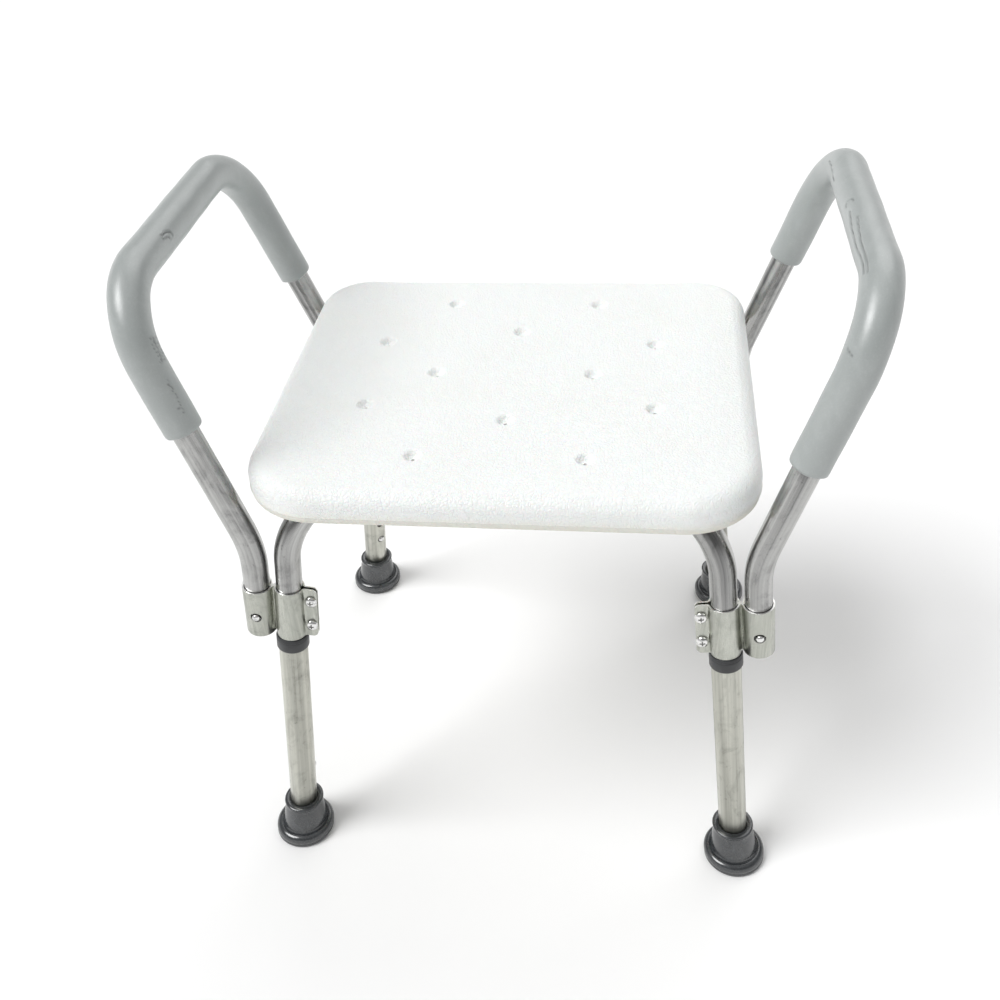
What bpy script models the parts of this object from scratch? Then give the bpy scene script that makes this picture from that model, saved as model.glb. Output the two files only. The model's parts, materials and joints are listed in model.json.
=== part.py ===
"""Bath seat with drain holes, two lift-off arms and four length-adjustable legs.

Metres, +Z up. X is the seat's width, Y its depth, and the front faces -Y. The origin is on the
floor under the seat's centre. Two bent tubes cross under the seat and end in the four legs, so
each tube lies in an upright plane through opposite corners.
"""
import bpy
import bmesh
from math import asin, atan2, cos, hypot, pi, radians, sin, tan
from mathutils import Matrix, Vector

# ---------------------------------------------------------------- driving dimensions
GAP = 0.0003                    # left between two pieces that touch

SEAT_WIDTH = 0.412
SEAT_DEPTH = 0.360
SEAT_TOP = 0.4216
SEAT_THICKNESS = 0.031
SEAT_CORNER_FRONT = 0.062
SEAT_CORNER_REAR = 0.050
SEAT_WALL = 0.0030
SEAT_TOP_ROUND = 0.0120
SEAT_BOTTOM_ROUND = 0.0060
DRAIN_MOUTH = 0.0068            # radii of a drain's funnel and of its through hole
DRAIN_BORE = 0.0030
DRAIN_POST = 0.0082             # outer radius of the wall around a drain or a screw
VENT_RADIUS = 0.0040
VENT_Y = -0.035

LEG_X, LEG_Y = 0.1818, 0.1567   # leg axis at the top of its bracket
LEG_LEAN = 0.128                # outward run of a leg for each metre down
BRACKET_TOP = 0.3036
BRACKET_HEIGHT = 0.0503
FRAME_BEND = 0.053
UPPER_TUBE = 0.0222
UPPER_WALL = 0.0014
UPPER_END = 0.058               # lowest point of an upper tube's axis
LOWER_TUBE = 0.0254
LOWER_WALL = 0.0012
LOWER_END = 0.0096
FLAT_HALF = 0.0042              # half height of a tube pressed flat where the two cross
FLAT_WIDEN = 1.30
FLAT_REACH = 0.046
FLAT_BLEND = 0.022              # length over which round turns to flat

HOLE_PITCH = 0.0254             # height settings
HOLE_COUNT = 5
BUTTON_HEIGHT = 0.081           # of the leg's snap button, on the leg's axis
BUTTON_RADIUS = 0.0032
BUTTON_HOLE = 0.0037            # in the tube that carries the button
LOCK_HOLE = 0.0044              # in the tube or loop that it locks into

COLLAR_RADIUS = 0.0142
COLLAR_HEIGHT = 0.0140
COLLAR_LIP = 0.0030
COLLAR_PLAY = 0.0004            # to the bracket above and to the lower tube inside
COLLAR_LIP_PLAY = 0.0005
FOOT_HEIGHT = 0.0422
FOOT_FLANGE = 0.0283
FOOT_SLEEVE = 0.0187
FOOT_FLOOR = 0.0070             # rubber under the tube's end
FOOT_PLAY = 0.0007

ARM_TUBE = 0.0222
ARM_WALL = 0.0014
ARM_X, ARM_Y = 0.2094, 0.1586   # socket axis at the top of its bracket
ARM_TOP_X, ARM_TOP_Y, ARM_TOP = 0.2751, 0.1406, 0.5662
ARM_KNEE = 0.348                # height where the arm turns outward
ARM_KNEE_BEND = 0.093
ARM_TOP_BEND = 0.064
ARM_END = 0.2582
GRIP_DIAMETER = 0.0312
GRIP_BORE = 0.01135             # to the flats of the foam's inner sides
GRIP_SIDES = 12
GRIP_END = 0.4472               # mean height of a grip's ends
GRIP_SHIFT = 0.0102             # each grip sits a little off centre on its tube

STRIP = 0.0015                  # thickness of the bracket's metal
EAR_LENGTH = 0.0115
EAR_GAP = 0.0012                # half the slit between the ears
EAR_ROUND = 0.0043
SCREW_SPACING = 0.0256
SOCKET_PLAY = 0.0004            # between a loop and its tube
SCREW_FROM_AXIS = 0.0188
CLAMP_SCREW = 0.0025            # radii of the clamp screws, their holes in the ears and their nuts
CLAMP_HOLE = 0.0029
NUT_BORE = 0.0031
NUT_RADIUS = 0.0046
NUT_HEIGHT = 0.0040

FRAME_SCREW_REACH = 0.145       # seat screws, from the centre along each tube
SEAT_SCREW = 0.0031
SEAT_SCREW_LENGTH = 0.017       # above the seat's underside
RIVET_RADIUS = 0.0030

ROUND = 16                      # sides of a tube
SIDES = ((1, -1), (-1, -1), (1, 1), (-1, 1))
CORNER_NAMES = {(1, -1): "front_right", (-1, -1): "front_left", (1, 1): "rear_right", (-1, 1): "rear_left"}

# ---------------------------------------------------------------- derived
LEG_TURN = atan2(LEG_Y, LEG_X)
LEG_RADIUS = hypot(LEG_X, LEG_Y)
BRACKET_BOTTOM = BRACKET_TOP - BRACKET_HEIGHT
BRACKET_MIDDLE = BRACKET_TOP - BRACKET_HEIGHT / 2
LOOP_LEAN = LEG_LEAN * cos(LEG_TURN)      # the loops' lean along X, which the arms share
SEAT_BOTTOM = SEAT_TOP - SEAT_THICKNESS
FRAME_HEIGHT = SEAT_BOTTOM - GAP - UPPER_TUBE / 2     # axis of the level tubes under the seat


# ---------------------------------------------------------------- scene and materials
def clear_scene():
    for thing in list(bpy.data.objects):
        bpy.data.objects.remove(thing, do_unlink=True)


def new_collection(name):
    collection = bpy.data.collections.new(name)
    bpy.context.scene.collection.children.link(collection)
    return collection


clear_scene()
STOOL = new_collection("shower_stool")
CUTTERS = new_collection("cutters")


def finish(name, colour, roughness, metallic):
    material = bpy.data.materials.new(name)
    material.use_nodes = True
    shader = material.node_tree.nodes["Principled BSDF"]
    shader.inputs["Base Color"].default_value = (*colour, 1.0)
    shader.inputs["Roughness"].default_value = roughness
    shader.inputs["Metallic"].default_value = metallic
    return material


FINISHES = {
    "seat_plastic": finish("seat_plastic", (0.90, 0.91, 0.90), 0.45, 0.0),
    "aluminium": finish("aluminium", (0.66, 0.67, 0.66), 0.35, 1.0),
    "leg_aluminium": finish("leg_aluminium", (0.62, 0.63, 0.58), 0.42, 1.0),
    "steel": finish("steel", (0.75, 0.75, 0.74), 0.22, 1.0),
    "rubber": finish("rubber", (0.07, 0.08, 0.09), 0.35, 0.0),
    "collar_plastic": finish("collar_plastic", (0.10, 0.11, 0.12), 0.45, 0.0),
    "foam": finish("foam", (0.30, 0.33, 0.33), 0.75, 0.0),
}


def place(mesh, name, material, matrix=None):
    """Puts a mesh in the stool's collection as a named sub-part."""
    part = bpy.data.objects.new(name, mesh)
    STOOL.objects.link(part)
    mesh.materials.clear()
    mesh.materials.append(FINISHES[material])
    mesh.shade_smooth()
    mesh.set_sharp_from_angle(angle=radians(35))
    if matrix is not None:
        part.matrix_world = matrix
    return part


def drop(thing):
    bpy.data.objects.remove(thing, do_unlink=True)


def baked(thing):
    """The evaluated mesh of an object, in the object's own space, with its doubles merged."""
    bpy.context.view_layer.update()
    mesh = bpy.data.meshes.new_from_object(thing.evaluated_get(bpy.context.evaluated_depsgraph_get()))
    work = bmesh.new()
    work.from_mesh(mesh)
    bmesh.ops.remove_doubles(work, verts=work.verts, dist=0.000002)
    work.to_mesh(mesh)
    work.free()
    return mesh


def from_bmesh(work, name):
    mesh = bpy.data.meshes.new(name)
    work.to_mesh(mesh)
    work.free()
    return mesh


# ---------------------------------------------------------------- shapes
def turned(name, profile, steps=ROUND, closed=False):
    """A profile of (radius, height) points, outer side from top to bottom, turned about Z."""
    mesh = bpy.data.meshes.new(name)
    count = len(profile)
    edges = [(i, i + 1) for i in range(count - 1)]
    if closed:
        edges.append((count - 1, 0))
    mesh.from_pydata([(r, 0.0, z) for r, z in profile], edges, [])
    spindle = bpy.data.objects.new(name, mesh)
    STOOL.objects.link(spindle)
    screw = spindle.modifiers.new("turn", "SCREW")
    screw.axis = "Z"
    screw.angle = 2 * pi
    screw.steps = screw.render_steps = steps
    screw.use_merge_vertices = True
    screw.merge_threshold = 0.00001
    result = baked(spindle)
    drop(spindle)
    return result


def rounded_path(points, bends, arc_step=radians(14)):
    """The points of a bent tube's axis: straight runs joined by arcs of the given radii."""
    path = [Vector(points[0])]
    for before, corner, after, bend in zip(points, points[1:], points[2:], bends):
        back = (Vector(before) - Vector(corner)).normalized()
        ahead = (Vector(after) - Vector(corner)).normalized()
        inside = back.angle(ahead)
        turn = pi - inside
        reach = bend / tan(inside / 2)
        centre = Vector(corner) + (back + ahead).normalized() * (bend / sin(inside / 2))
        start = Vector(corner) + back * reach
        axis = (start - centre).cross(ahead)
        steps = max(2, round(turn / arc_step))
        for i in range(steps + 1):
            path.append(centre + Matrix.Rotation(turn * i / steps, 3, axis) @ (start - centre))
    path.append(Vector(points[-1]))
    return path


def tube(name, path, radius, wall=None, sides=ROUND):
    """A mesh tube along a path. With a wall it is hollow and open at both ends."""
    curve = bpy.data.curves.new(name, "CURVE")
    curve.dimensions = "3D"
    curve.bevel_depth = radius
    curve.bevel_resolution = (sides - 4) // 2
    curve.use_fill_caps = wall is None
    spline = curve.splines.new("POLY")
    spline.points.add(len(path) - 1)
    for point, place_at in zip(spline.points, path):
        point.co = (*place_at, 1.0)
    guide = bpy.data.objects.new(name, curve)
    STOOL.objects.link(guide)
    if wall is not None:
        shell = guide.modifiers.new("wall", "SOLIDIFY")
        shell.thickness = wall
        shell.offset = -1.0
        shell.use_even_offset = True
    mesh = baked(guide)
    drop(guide)
    return mesh


def plate(name, outline, thickness, holes=()):
    """A flat outline of (x, y) points, with holes, made thickness high about z = 0."""
    curve = bpy.data.curves.new(name, "CURVE")
    curve.dimensions = "2D"
    curve.fill_mode = "BOTH"
    curve.extrude = thickness / 2
    for ring in (outline, *holes):
        spline = curve.splines.new("POLY")
        spline.points.add(len(ring) - 1)
        for point, (x, y) in zip(spline.points, ring):
            point.co = (x, y, 0.0, 1.0)
        spline.use_cyclic_u = True
    guide = bpy.data.objects.new(name, curve)
    STOOL.objects.link(guide)
    mesh = baked(guide)
    drop(guide)
    return mesh


def arc(centre_x, centre_y, radius, start, end, steps):
    """Points (x, y) along an arc, angles in radians, both ends included."""
    return [
        (centre_x + radius * cos(start + (end - start) * i / steps),
         centre_y + radius * sin(start + (end - start) * i / steps))
        for i in range(steps + 1)
    ]


def rounded_box(name, width, depth, height, corners, top_round, bottom_round):
    """A slab with rounded corners (front and rear radii) and edges, its middle at the origin."""
    work = bmesh.new()
    bmesh.ops.create_cube(work, size=1.0)
    bmesh.ops.scale(work, vec=(width, depth, height), verts=work.verts)

    def rims(test):
        return [e for e in work.edges if all(test(v.co) for v in e.verts)]

    for end, corner in zip((-1, 1), corners):
        uprights = rims(lambda co, end=end: co.y * end > depth / 2 - 0.001)
        uprights = [e for e in uprights if abs(e.verts[0].co.z - e.verts[1].co.z) > height / 2]
        bmesh.ops.bevel(work, geom=uprights, offset=corner, segments=5, profile=0.5, affect="EDGES")
    for level, size, segments in ((height / 2, top_round, 3), (-height / 2, bottom_round, 2)):
        if size:
            rim = rims(lambda co, level=level: abs(co.z - level) < 0.00001)
            bmesh.ops.bevel(work, geom=rim, offset=size, segments=segments, profile=0.5, affect="EDGES")
    return from_bmesh(work, name)


def cutter(name, mesh, matrix=None):
    thing = bpy.data.objects.new(name, mesh)
    CUTTERS.objects.link(thing)
    thing.hide_render = True
    thing.display_type = "WIRE"
    if matrix is not None:
        thing.matrix_world = matrix
    return thing


def combine(target, tool, operation="DIFFERENCE"):
    modifier = target.modifiers.new(tool.name, "BOOLEAN")
    modifier.object = tool
    modifier.operation = operation
    modifier.solver = "EXACT"


def rods(name, specs, sides=8):
    """One cutter of straight rods, each given as (middle, direction, radius, length)."""
    work = bmesh.new()
    for middle, direction, radius, length in specs:
        turn = Vector((0, 0, 1)).rotation_difference(Vector(direction)).to_matrix().to_4x4()
        bmesh.ops.create_cone(
            work, cap_ends=True, segments=sides, radius1=radius, radius2=radius, depth=length,
            matrix=Matrix.Translation(middle) @ turn,
        )
    return cutter(name, from_bmesh(work, name))


def cut_mesh(mesh, name, tools):
    """A mesh after its cuts, for pieces that share one shape."""
    blank = bpy.data.objects.new(name, mesh)
    STOOL.objects.link(blank)
    for tool, operation in tools:
        combine(blank, tool, operation)
    result = baked(blank)
    drop(blank)
    return result


def mirrored(mesh, sx, sy):
    """A copy of a front right piece for another corner."""
    copy = mesh.copy()
    copy.transform(Matrix.Diagonal((sx, -sy, 1.0, 1.0)))
    if sx * -sy < 0:
        copy.flip_normals()
    return copy


# ---------------------------------------------------------------- leg frames
def leg_point(sx, sy, height):
    run = LEG_RADIUS + LEG_LEAN * (BRACKET_TOP - height)
    return Vector((sx * run * cos(LEG_TURN), sy * run * sin(LEG_TURN), height))


def leg_up(sx, sy):
    return Vector((-sx * LEG_LEAN * cos(LEG_TURN), -sy * LEG_LEAN * sin(LEG_TURN), 1.0)).normalized()


def inward(sx, sy):
    """Level direction from a leg to the seat's centre."""
    return Vector((-sx * cos(LEG_TURN), -sy * sin(LEG_TURN), 0.0))


def frame_at(origin, up, along):
    """A matrix with Z along up and X as near to along as it can be."""
    z = up.normalized()
    x = (along - z * along.dot(z)).normalized()
    y = z.cross(x)
    return Matrix.Translation(origin) @ Matrix((x, y, z)).transposed().to_4x4()


def socket_point(sx, sy):
    """A point on an arm socket's axis, at its bracket's mid height."""
    return Vector((sx * (ARM_X + LOOP_LEAN * BRACKET_HEIGHT / 2), sy * ARM_Y, BRACKET_MIDDLE))


def leg_matrix(sx, sy, height):
    return frame_at(leg_point(sx, sy, height), leg_up(sx, sy), inward(sx, sy))


# ---------------------------------------------------------------- seat
def drain_places():
    """Twelve drains: rows of two, one, two, two, two, one and two from back to front."""
    pairs = ((0.0687, 0.1243), (0.1223, 0.0518))
    places = [(sx * x, sy * y) for x, y in pairs for sx in (1, -1) for sy in (1, -1)]
    places += [(0.0, 0.0718), (0.0, -0.0718), (0.0688, 0.0), (-0.0688, 0.0)]
    return places


def screw_places():
    return [FRAME_SCREW_REACH * -inward(sx, sy) for sx, sy in SIDES]


def build_seat():
    middle = Matrix.Translation((0, 0, SEAT_TOP - SEAT_THICKNESS / 2))
    corners = (SEAT_CORNER_FRONT, SEAT_CORNER_REAR)
    shell = rounded_box(
        "seat", SEAT_WIDTH, SEAT_DEPTH, SEAT_THICKNESS, corners, SEAT_TOP_ROUND, SEAT_BOTTOM_ROUND
    )
    seat = place(shell, "seat", "seat_plastic", middle)

    inner = rounded_box(
        "cavity", SEAT_WIDTH - 2 * SEAT_WALL, SEAT_DEPTH - 2 * SEAT_WALL,
        SEAT_THICKNESS - 2 * SEAT_WALL, [corner - SEAT_WALL for corner in corners],
        SEAT_TOP_ROUND - SEAT_WALL, 0.0,
    )
    cavity = cutter("cavity", inner, middle)
    posts = [(Vector((x, y, SEAT_TOP)), (0, 0, 1), DRAIN_POST, 0.10) for x, y in drain_places()]
    posts += [(p + Vector((0, 0, SEAT_TOP)), (0, 0, 1), DRAIN_POST, 0.10) for p in screw_places()]
    combine(cavity, rods("posts", posts, sides=10))
    combine(seat, cavity)

    funnel = turned(
        "funnel",
        [(0.0, 0.003), (DRAIN_MOUTH + 0.0019, 0.003), (DRAIN_BORE + 0.0012, -0.0045),
         (DRAIN_BORE, -0.008), (DRAIN_BORE, -SEAT_THICKNESS - 0.005), (0.0, -SEAT_THICKNESS - 0.005)],
        steps=10,
    )
    work = bmesh.new()
    for x, y in drain_places():
        copy = funnel.copy()
        copy.transform(Matrix.Translation((x, y, SEAT_TOP)))
        work.from_mesh(copy)
    combine(seat, cutter("drains", from_bmesh(work, "drains")))
    low = Vector((0, 0, SEAT_BOTTOM + 0.005))
    holes = [(p + low, (0, 0, 1), SEAT_SCREW + GAP, 0.030) for p in screw_places()]
    holes.append((Vector((0.0, VENT_Y, SEAT_BOTTOM)), (0, 0, 1), VENT_RADIUS, 0.012))
    combine(seat, rods("seat_screw_holes", holes))


# ---------------------------------------------------------------- frame
def flattened(mesh, line, lift):
    """Presses a tube flat round the centre of its level run, and moves it up or down there."""
    side = line.cross(Vector((0, 0, 1)))
    for vertex in mesh.vertices:
        along = abs(vertex.co.dot(line))
        if along > FLAT_REACH or vertex.co.z < FRAME_HEIGHT - UPPER_TUBE:
            continue
        t = min(1.0, (FLAT_REACH - along) / FLAT_BLEND)
        t = t * t * (3 - 2 * t)
        up = vertex.co.z - FRAME_HEIGHT
        out = vertex.co.dot(side)
        vertex.co.z = FRAME_HEIGHT + up * (1 + t * (2 * FLAT_HALF / UPPER_TUBE - 1)) + lift * t
        vertex.co += side * out * t * (FLAT_WIDEN - 1)


def build_frame():
    for name, sx, lift in (("frame_tube_a", 1, 1), ("frame_tube_b", -1, -1)):
        near, far = (sx, -1), (-sx, 1)
        line = inward(*near)
        stops = [FLAT_REACH, 0.040, 0.033, 0.026, 0.014]
        centre = Vector((0, 0, FRAME_HEIGHT))
        ends = [
            rounded_path(
                [leg_point(*corner, UPPER_END), leg_point(*corner, FRAME_HEIGHT), centre], [FRAME_BEND]
            )[:-1]
            for corner in (near, far)
        ]
        level = [centre - line * s for s in stops] + [centre + line * s for s in reversed(stops)]
        mesh = tube(name, ends[0] + level + ends[1][::-1], UPPER_TUBE / 2, UPPER_WALL)
        flattened(mesh, line, lift * (FLAT_HALF + GAP))
        part = place(mesh, name, "aluminium")

        holes = [(centre, (0, 0, 1), RIVET_RADIUS + GAP, 0.05)]
        for corner in (near, far):
            across = inward(*corner)
            holes.append((centre - across * FRAME_SCREW_REACH, (0, 0, 1), SEAT_SCREW + GAP, 0.05))
            button = leg_matrix(*corner, BUTTON_HEIGHT)
            holes.append((button @ Vector((UPPER_TUBE / 2, 0, 0)), button.col[0].xyz, BUTTON_HOLE, 0.014))
        combine(part, rods(name + "_holes", holes))


def build_rivet():
    top = 2 * FLAT_HALF + 2 * GAP
    head, low_head = 0.0058, 0.0022
    profile = [
        (0.0, top + 0.0021), (head * 0.6, top + 0.0019), (head, top + 0.0008), (head, top + GAP),
        (RIVET_RADIUS, top + GAP), (RIVET_RADIUS, -top - GAP), (head, -top - GAP),
        (head, -top - 0.0008), (head * 0.6, -top - low_head), (0.0, -top - low_head),
    ]
    place(turned("centre_rivet", profile, 12), "centre_rivet", "steel",
          Matrix.Translation((0, 0, FRAME_HEIGHT)))


def build_seat_screws():
    """Pan-head screws up through the frame tubes into the seat's bosses."""
    under = -UPPER_TUBE / 2 - GAP
    tip = SEAT_BOTTOM - FRAME_HEIGHT + SEAT_SCREW_LENGTH
    profile = [
        (0.0, tip), (0.0022, tip), (SEAT_SCREW, tip - 0.003), (SEAT_SCREW, under), (0.0058, under),
        (0.0055, under - 0.0022), (0.0036, under - 0.0036), (0.0, under - 0.0038),
    ]
    shape = turned("seat_screw", profile, 10)
    for (sx, sy), spot in zip(SIDES, screw_places()):
        place(shape.copy(), f"seat_screw_{CORNER_NAMES[sx, sy]}", "steel",
              Matrix.Translation(spot + Vector((0, 0, FRAME_HEIGHT))))


# ---------------------------------------------------------------- brackets
def bracket_matrix():
    """Front right bracket: Z up along the loops, X outward, on the leg's axis at mid height."""
    return frame_at(leg_point(1, -1, BRACKET_MIDDLE), Vector((-LOOP_LEAN, 0, 1)), Vector((1, 0, 0)))


def leg_loop_matrix():
    """The same place with Z up along the leg itself, which the leg loop and the ears follow."""
    return frame_at(leg_point(1, -1, BRACKET_MIDDLE), leg_up(1, -1), Vector((1, 0, 0)))


def socket_offset():
    """The arm socket's axis in the bracket's frame, at mid height."""
    return bracket_matrix().inverted() @ socket_point(1, -1)


def bracket_outline():
    """One strip folded round the leg, pinched, round the arm, and back to two ears."""
    leg_in = UPPER_TUBE / 2 + SOCKET_PLAY
    leg_out = leg_in + STRIP
    arm_in = ARM_TUBE / 2 + SOCKET_PLAY
    arm_out = arm_in + STRIP
    arm_x, arm_y = socket_offset().xy
    ear_y = EAR_GAP + STRIP
    ear_x = -leg_out - EAR_LENGTH
    pinch = asin(STRIP / leg_out)
    neck = asin(STRIP / arm_out)
    slit = asin(EAR_GAP / leg_in)
    root = asin(ear_y / leg_out)
    outline = [(ear_x, -ear_y)]
    outline += arc(0, 0, leg_out, pi + root, 2 * pi - pinch, 6)
    outline += arc(arm_x, arm_y, arm_out, neck - pi, pi - neck, 12)
    outline += arc(0, 0, leg_out, pinch, pi - root, 6)
    outline += [(ear_x, ear_y), (ear_x, EAR_GAP)]
    outline += arc(0, 0, leg_in, pi - slit, slit - pi, 15)
    outline += [(ear_x, -EAR_GAP)]
    bore = arc(arm_x, arm_y, arm_in, 0, 2 * pi, 14)[:-1]
    return outline, bore


def build_brackets():
    outline, bore = bracket_outline()
    height = BRACKET_HEIGHT * hypot(1, LOOP_LEAN)
    mesh = plate("bracket", outline, height, [bore])
    arm_x, arm_y = socket_offset().xy
    fade_from, fade_to = UPPER_TUBE / 2 + STRIP, arm_x - ARM_TUBE / 2 - STRIP
    twist = bracket_matrix().inverted() @ leg_loop_matrix()
    for vertex in mesh.vertices:
        share = min(1.0, max(0.0, (fade_to - vertex.co.x) / (fade_to - fade_from)))
        vertex.co = vertex.co.lerp(twist @ vertex.co, share)

    ear_x = -UPPER_TUBE / 2 - SOCKET_PLAY - STRIP - EAR_LENGTH
    far_x = arm_x + ARM_TUBE
    high = height / 2 + 0.002
    turn_x, turn_z = ear_x + EAR_ROUND, height / 2 - EAR_ROUND
    face = [(far_x, -high), (far_x, high), (turn_x + EAR_ROUND, high), (turn_x + EAR_ROUND, height / 2)]
    face += arc(turn_x, turn_z, EAR_ROUND, pi / 2, pi, 4)
    face += arc(turn_x, -turn_z, EAR_ROUND, pi, 3 * pi / 2, 4)
    face += [(turn_x + EAR_ROUND, -high)]
    rounding = cutter("ear_rounding", plate("ear_rounding", face, 0.08), twist @ Matrix.Rotation(pi / 2, 4, "X"))
    across = twist.col[1].xyz
    spots = [twist @ Vector((-SCREW_FROM_AXIS, 0, s * SCREW_SPACING / 2)) for s in (1, -1)]
    holes = [(spot, across, CLAMP_HOLE, 0.03) for spot in spots]
    holes.append((socket_offset() - Vector((0, ARM_TUBE / 2, 0)), (0, 1, 0), LOCK_HOLE, 0.008))
    tools = [(rounding, "INTERSECT"), (rods("bracket_holes", holes, 10), "DIFFERENCE")]
    front_right = cut_mesh(mesh, "bracket", tools)
    front_right.transform(bracket_matrix())
    for sx, sy in SIDES:
        place(mirrored(front_right, sx, sy), f"bracket_{CORNER_NAMES[sx, sy]}", "aluminium")


def build_clamp_screws():
    """Two cross-head screws through each bracket's ears, heads outward, with hexagon nuts inside."""
    seat_y = EAR_GAP + STRIP + GAP
    head = [
        (0.0, seat_y + 0.0034), (0.0026, seat_y + 0.0031), (0.0044, seat_y + 0.0019), (0.0048, seat_y),
        (CLAMP_SCREW, seat_y), (CLAMP_SCREW, -seat_y - 0.0060), (0.0, -seat_y - 0.0060),
    ]
    screw = turned("clamp_screw", head, 10)
    low = -seat_y - NUT_HEIGHT
    ring = [(NUT_RADIUS, -seat_y), (NUT_RADIUS, low), (NUT_BORE, low), (NUT_BORE, -seat_y)]
    nut = turned("clamp_nut", ring, 6, closed=True)
    base = leg_loop_matrix()
    to_front = Matrix.Rotation(pi / 2, 4, "X")
    for sx, sy in SIDES:
        for level, s in (("upper", 1), ("lower", -1)):
            z = s * SCREW_SPACING / 2
            spot = base @ Matrix.Translation((-SCREW_FROM_AXIS, 0, z)) @ to_front
            for shape, kind in ((screw, "screw"), (nut, "nut")):
                moved = shape.copy()
                moved.transform(spot)
                place(mirrored(moved, sx, sy), f"{kind}_{CORNER_NAMES[sx, sy]}_{level}", "steel")


# ---------------------------------------------------------------- legs
def build_lower_legs():
    top = BRACKET_BOTTOM - COLLAR_PLAY - COLLAR_LIP
    stretch = hypot(1, LEG_LEAN)
    length = (top - LOWER_END) * stretch
    outer, inner = LOWER_TUBE / 2, LOWER_TUBE / 2 - LOWER_WALL
    shape = turned("lower_leg", [(outer, 0), (outer, -length), (inner, -length), (inner, 0)], closed=True)
    first = (BUTTON_HEIGHT - top) * stretch
    holes = [((outer, 0, first + i * HOLE_PITCH), (1, 0, 0), LOCK_HOLE, 0.010) for i in range(HOLE_COUNT)]
    drilled = cut_mesh(shape, "lower_leg", [(rods("height_holes", holes), "DIFFERENCE")])
    for sx, sy in SIDES:
        place(drilled.copy(), f"lower_leg_{CORNER_NAMES[sx, sy]}", "leg_aluminium", leg_matrix(sx, sy, top))


def build_collars():
    """A plastic cap over the lower tube's top end, with a lip that guides the upper tube."""
    lip = UPPER_TUBE / 2 + COLLAR_LIP_PLAY
    skirt = LOWER_TUBE / 2 + COLLAR_PLAY
    low = -COLLAR_HEIGHT
    profile = [
        (COLLAR_RADIUS - 0.0008, 0.0), (COLLAR_RADIUS, -0.0008), (COLLAR_RADIUS, low), (skirt, low),
        (skirt, -COLLAR_LIP + GAP), (lip, -COLLAR_LIP + GAP), (lip, 0.0),
    ]
    shape = turned("collar", profile, closed=True)
    for sx, sy in SIDES:
        place(shape.copy(), f"collar_{CORNER_NAMES[sx, sy]}", "collar_plastic",
              leg_matrix(sx, sy, BRACKET_BOTTOM - COLLAR_PLAY))


def build_feet():
    """A rubber cup whose flange lies flat on the floor while its sleeve follows the leaning leg."""
    bore = LOWER_TUBE / 2 + FOOT_PLAY
    profile = [
        (0.0, FOOT_FLOOR), (bore, FOOT_FLOOR), (bore, FOOT_HEIGHT - 0.0005), (bore + 0.0005, FOOT_HEIGHT),
        (FOOT_SLEEVE - 0.0008, FOOT_HEIGHT), (FOOT_SLEEVE, FOOT_HEIGHT - 0.0010), (FOOT_SLEEVE + 0.0009, 0.0300),
        (0.0213, 0.0128), (0.0243, 0.0126), (0.0272, 0.0100), (FOOT_FLANGE, 0.0064), (FOOT_FLANGE, 0.0026),
        (FOOT_FLANGE - 0.0020, 0.0), (0.0, 0.0),
    ]
    shape = turned("foot", profile, 18)
    for sx, sy in SIDES:
        foot = shape.copy()
        lean = Matrix.Identity(4)
        lean[0][2] = -sx * LEG_LEAN * cos(LEG_TURN)
        lean[1][2] = -sy * LEG_LEAN * sin(LEG_TURN)
        foot.transform(lean)
        place(foot, f"foot_{CORNER_NAMES[sx, sy]}", "rubber", Matrix.Translation(leg_point(sx, sy, 0.0)))


# ---------------------------------------------------------------- snap buttons
def snap_button(name, tube_inner, tube_outer, proud):
    """A domed steel button that points along +X out of a tube, on a V spring inside the tube."""
    head = tube_outer + proud
    profile = [
        (0.0, head), (BUTTON_RADIUS * 0.62, head - 0.0005), (BUTTON_RADIUS, head - 0.0022),
        (BUTTON_RADIUS, tube_inner - 0.0013), (0.0, tube_inner - 0.0013),
    ]
    dome = turned(name, profile, 8)
    dome.transform(Matrix.Rotation(pi / 2, 4, "Y"))
    near, far = tube_inner - 0.0012, -tube_inner + 0.0022
    thin, length = 0.0006, 0.030
    strip = [
        (near, 0.0060), (near, -length * 0.5), (0.0, -length), (far, -length * 0.4),
        (far + thin, -length * 0.4), (0.0, -length + thin * 2.2), (near - thin, -length * 0.5),
        (near - thin, 0.0060),
    ]
    spring = plate(name, strip, 0.0070)
    spring.transform(Matrix.Rotation(pi / 2, 4, "X"))
    return cut_mesh(spring, name, [(cutter(name + "_dome", dome), "UNION")])


def build_snap_buttons():
    leg_button = snap_button("leg_button", UPPER_TUBE / 2 - UPPER_WALL, UPPER_TUBE / 2, 0.0036)
    arm_button = snap_button("arm_button", ARM_TUBE / 2 - ARM_WALL, ARM_TUBE / 2, 0.0040)
    for sx, sy in SIDES:
        where = CORNER_NAMES[sx, sy]
        place(leg_button.copy(), f"leg_button_{where}", "steel", leg_matrix(sx, sy, BUTTON_HEIGHT))
        matrix = frame_at(socket_point(sx, sy), Vector((-sx * LOOP_LEAN, 0, 1)), Vector((0, sy, 0)))
        place(arm_button.copy(), f"arm_button_{where}", "steel", matrix)


# ---------------------------------------------------------------- arms
def arm_corners(sx, low=ARM_END):
    """Axis of an arm from its front end to its rear end, before its bends are rounded."""
    def on_socket(height):
        return sx * (ARM_X - LOOP_LEAN * (height - BRACKET_TOP))
    half = [(on_socket(low), ARM_Y, low), (on_socket(ARM_KNEE), ARM_Y, ARM_KNEE),
            (sx * ARM_TOP_X, ARM_TOP_Y, ARM_TOP)]
    return [Vector((x, -y, z)) for x, y, z in half] + [Vector(p) for p in reversed(half)]


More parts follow.
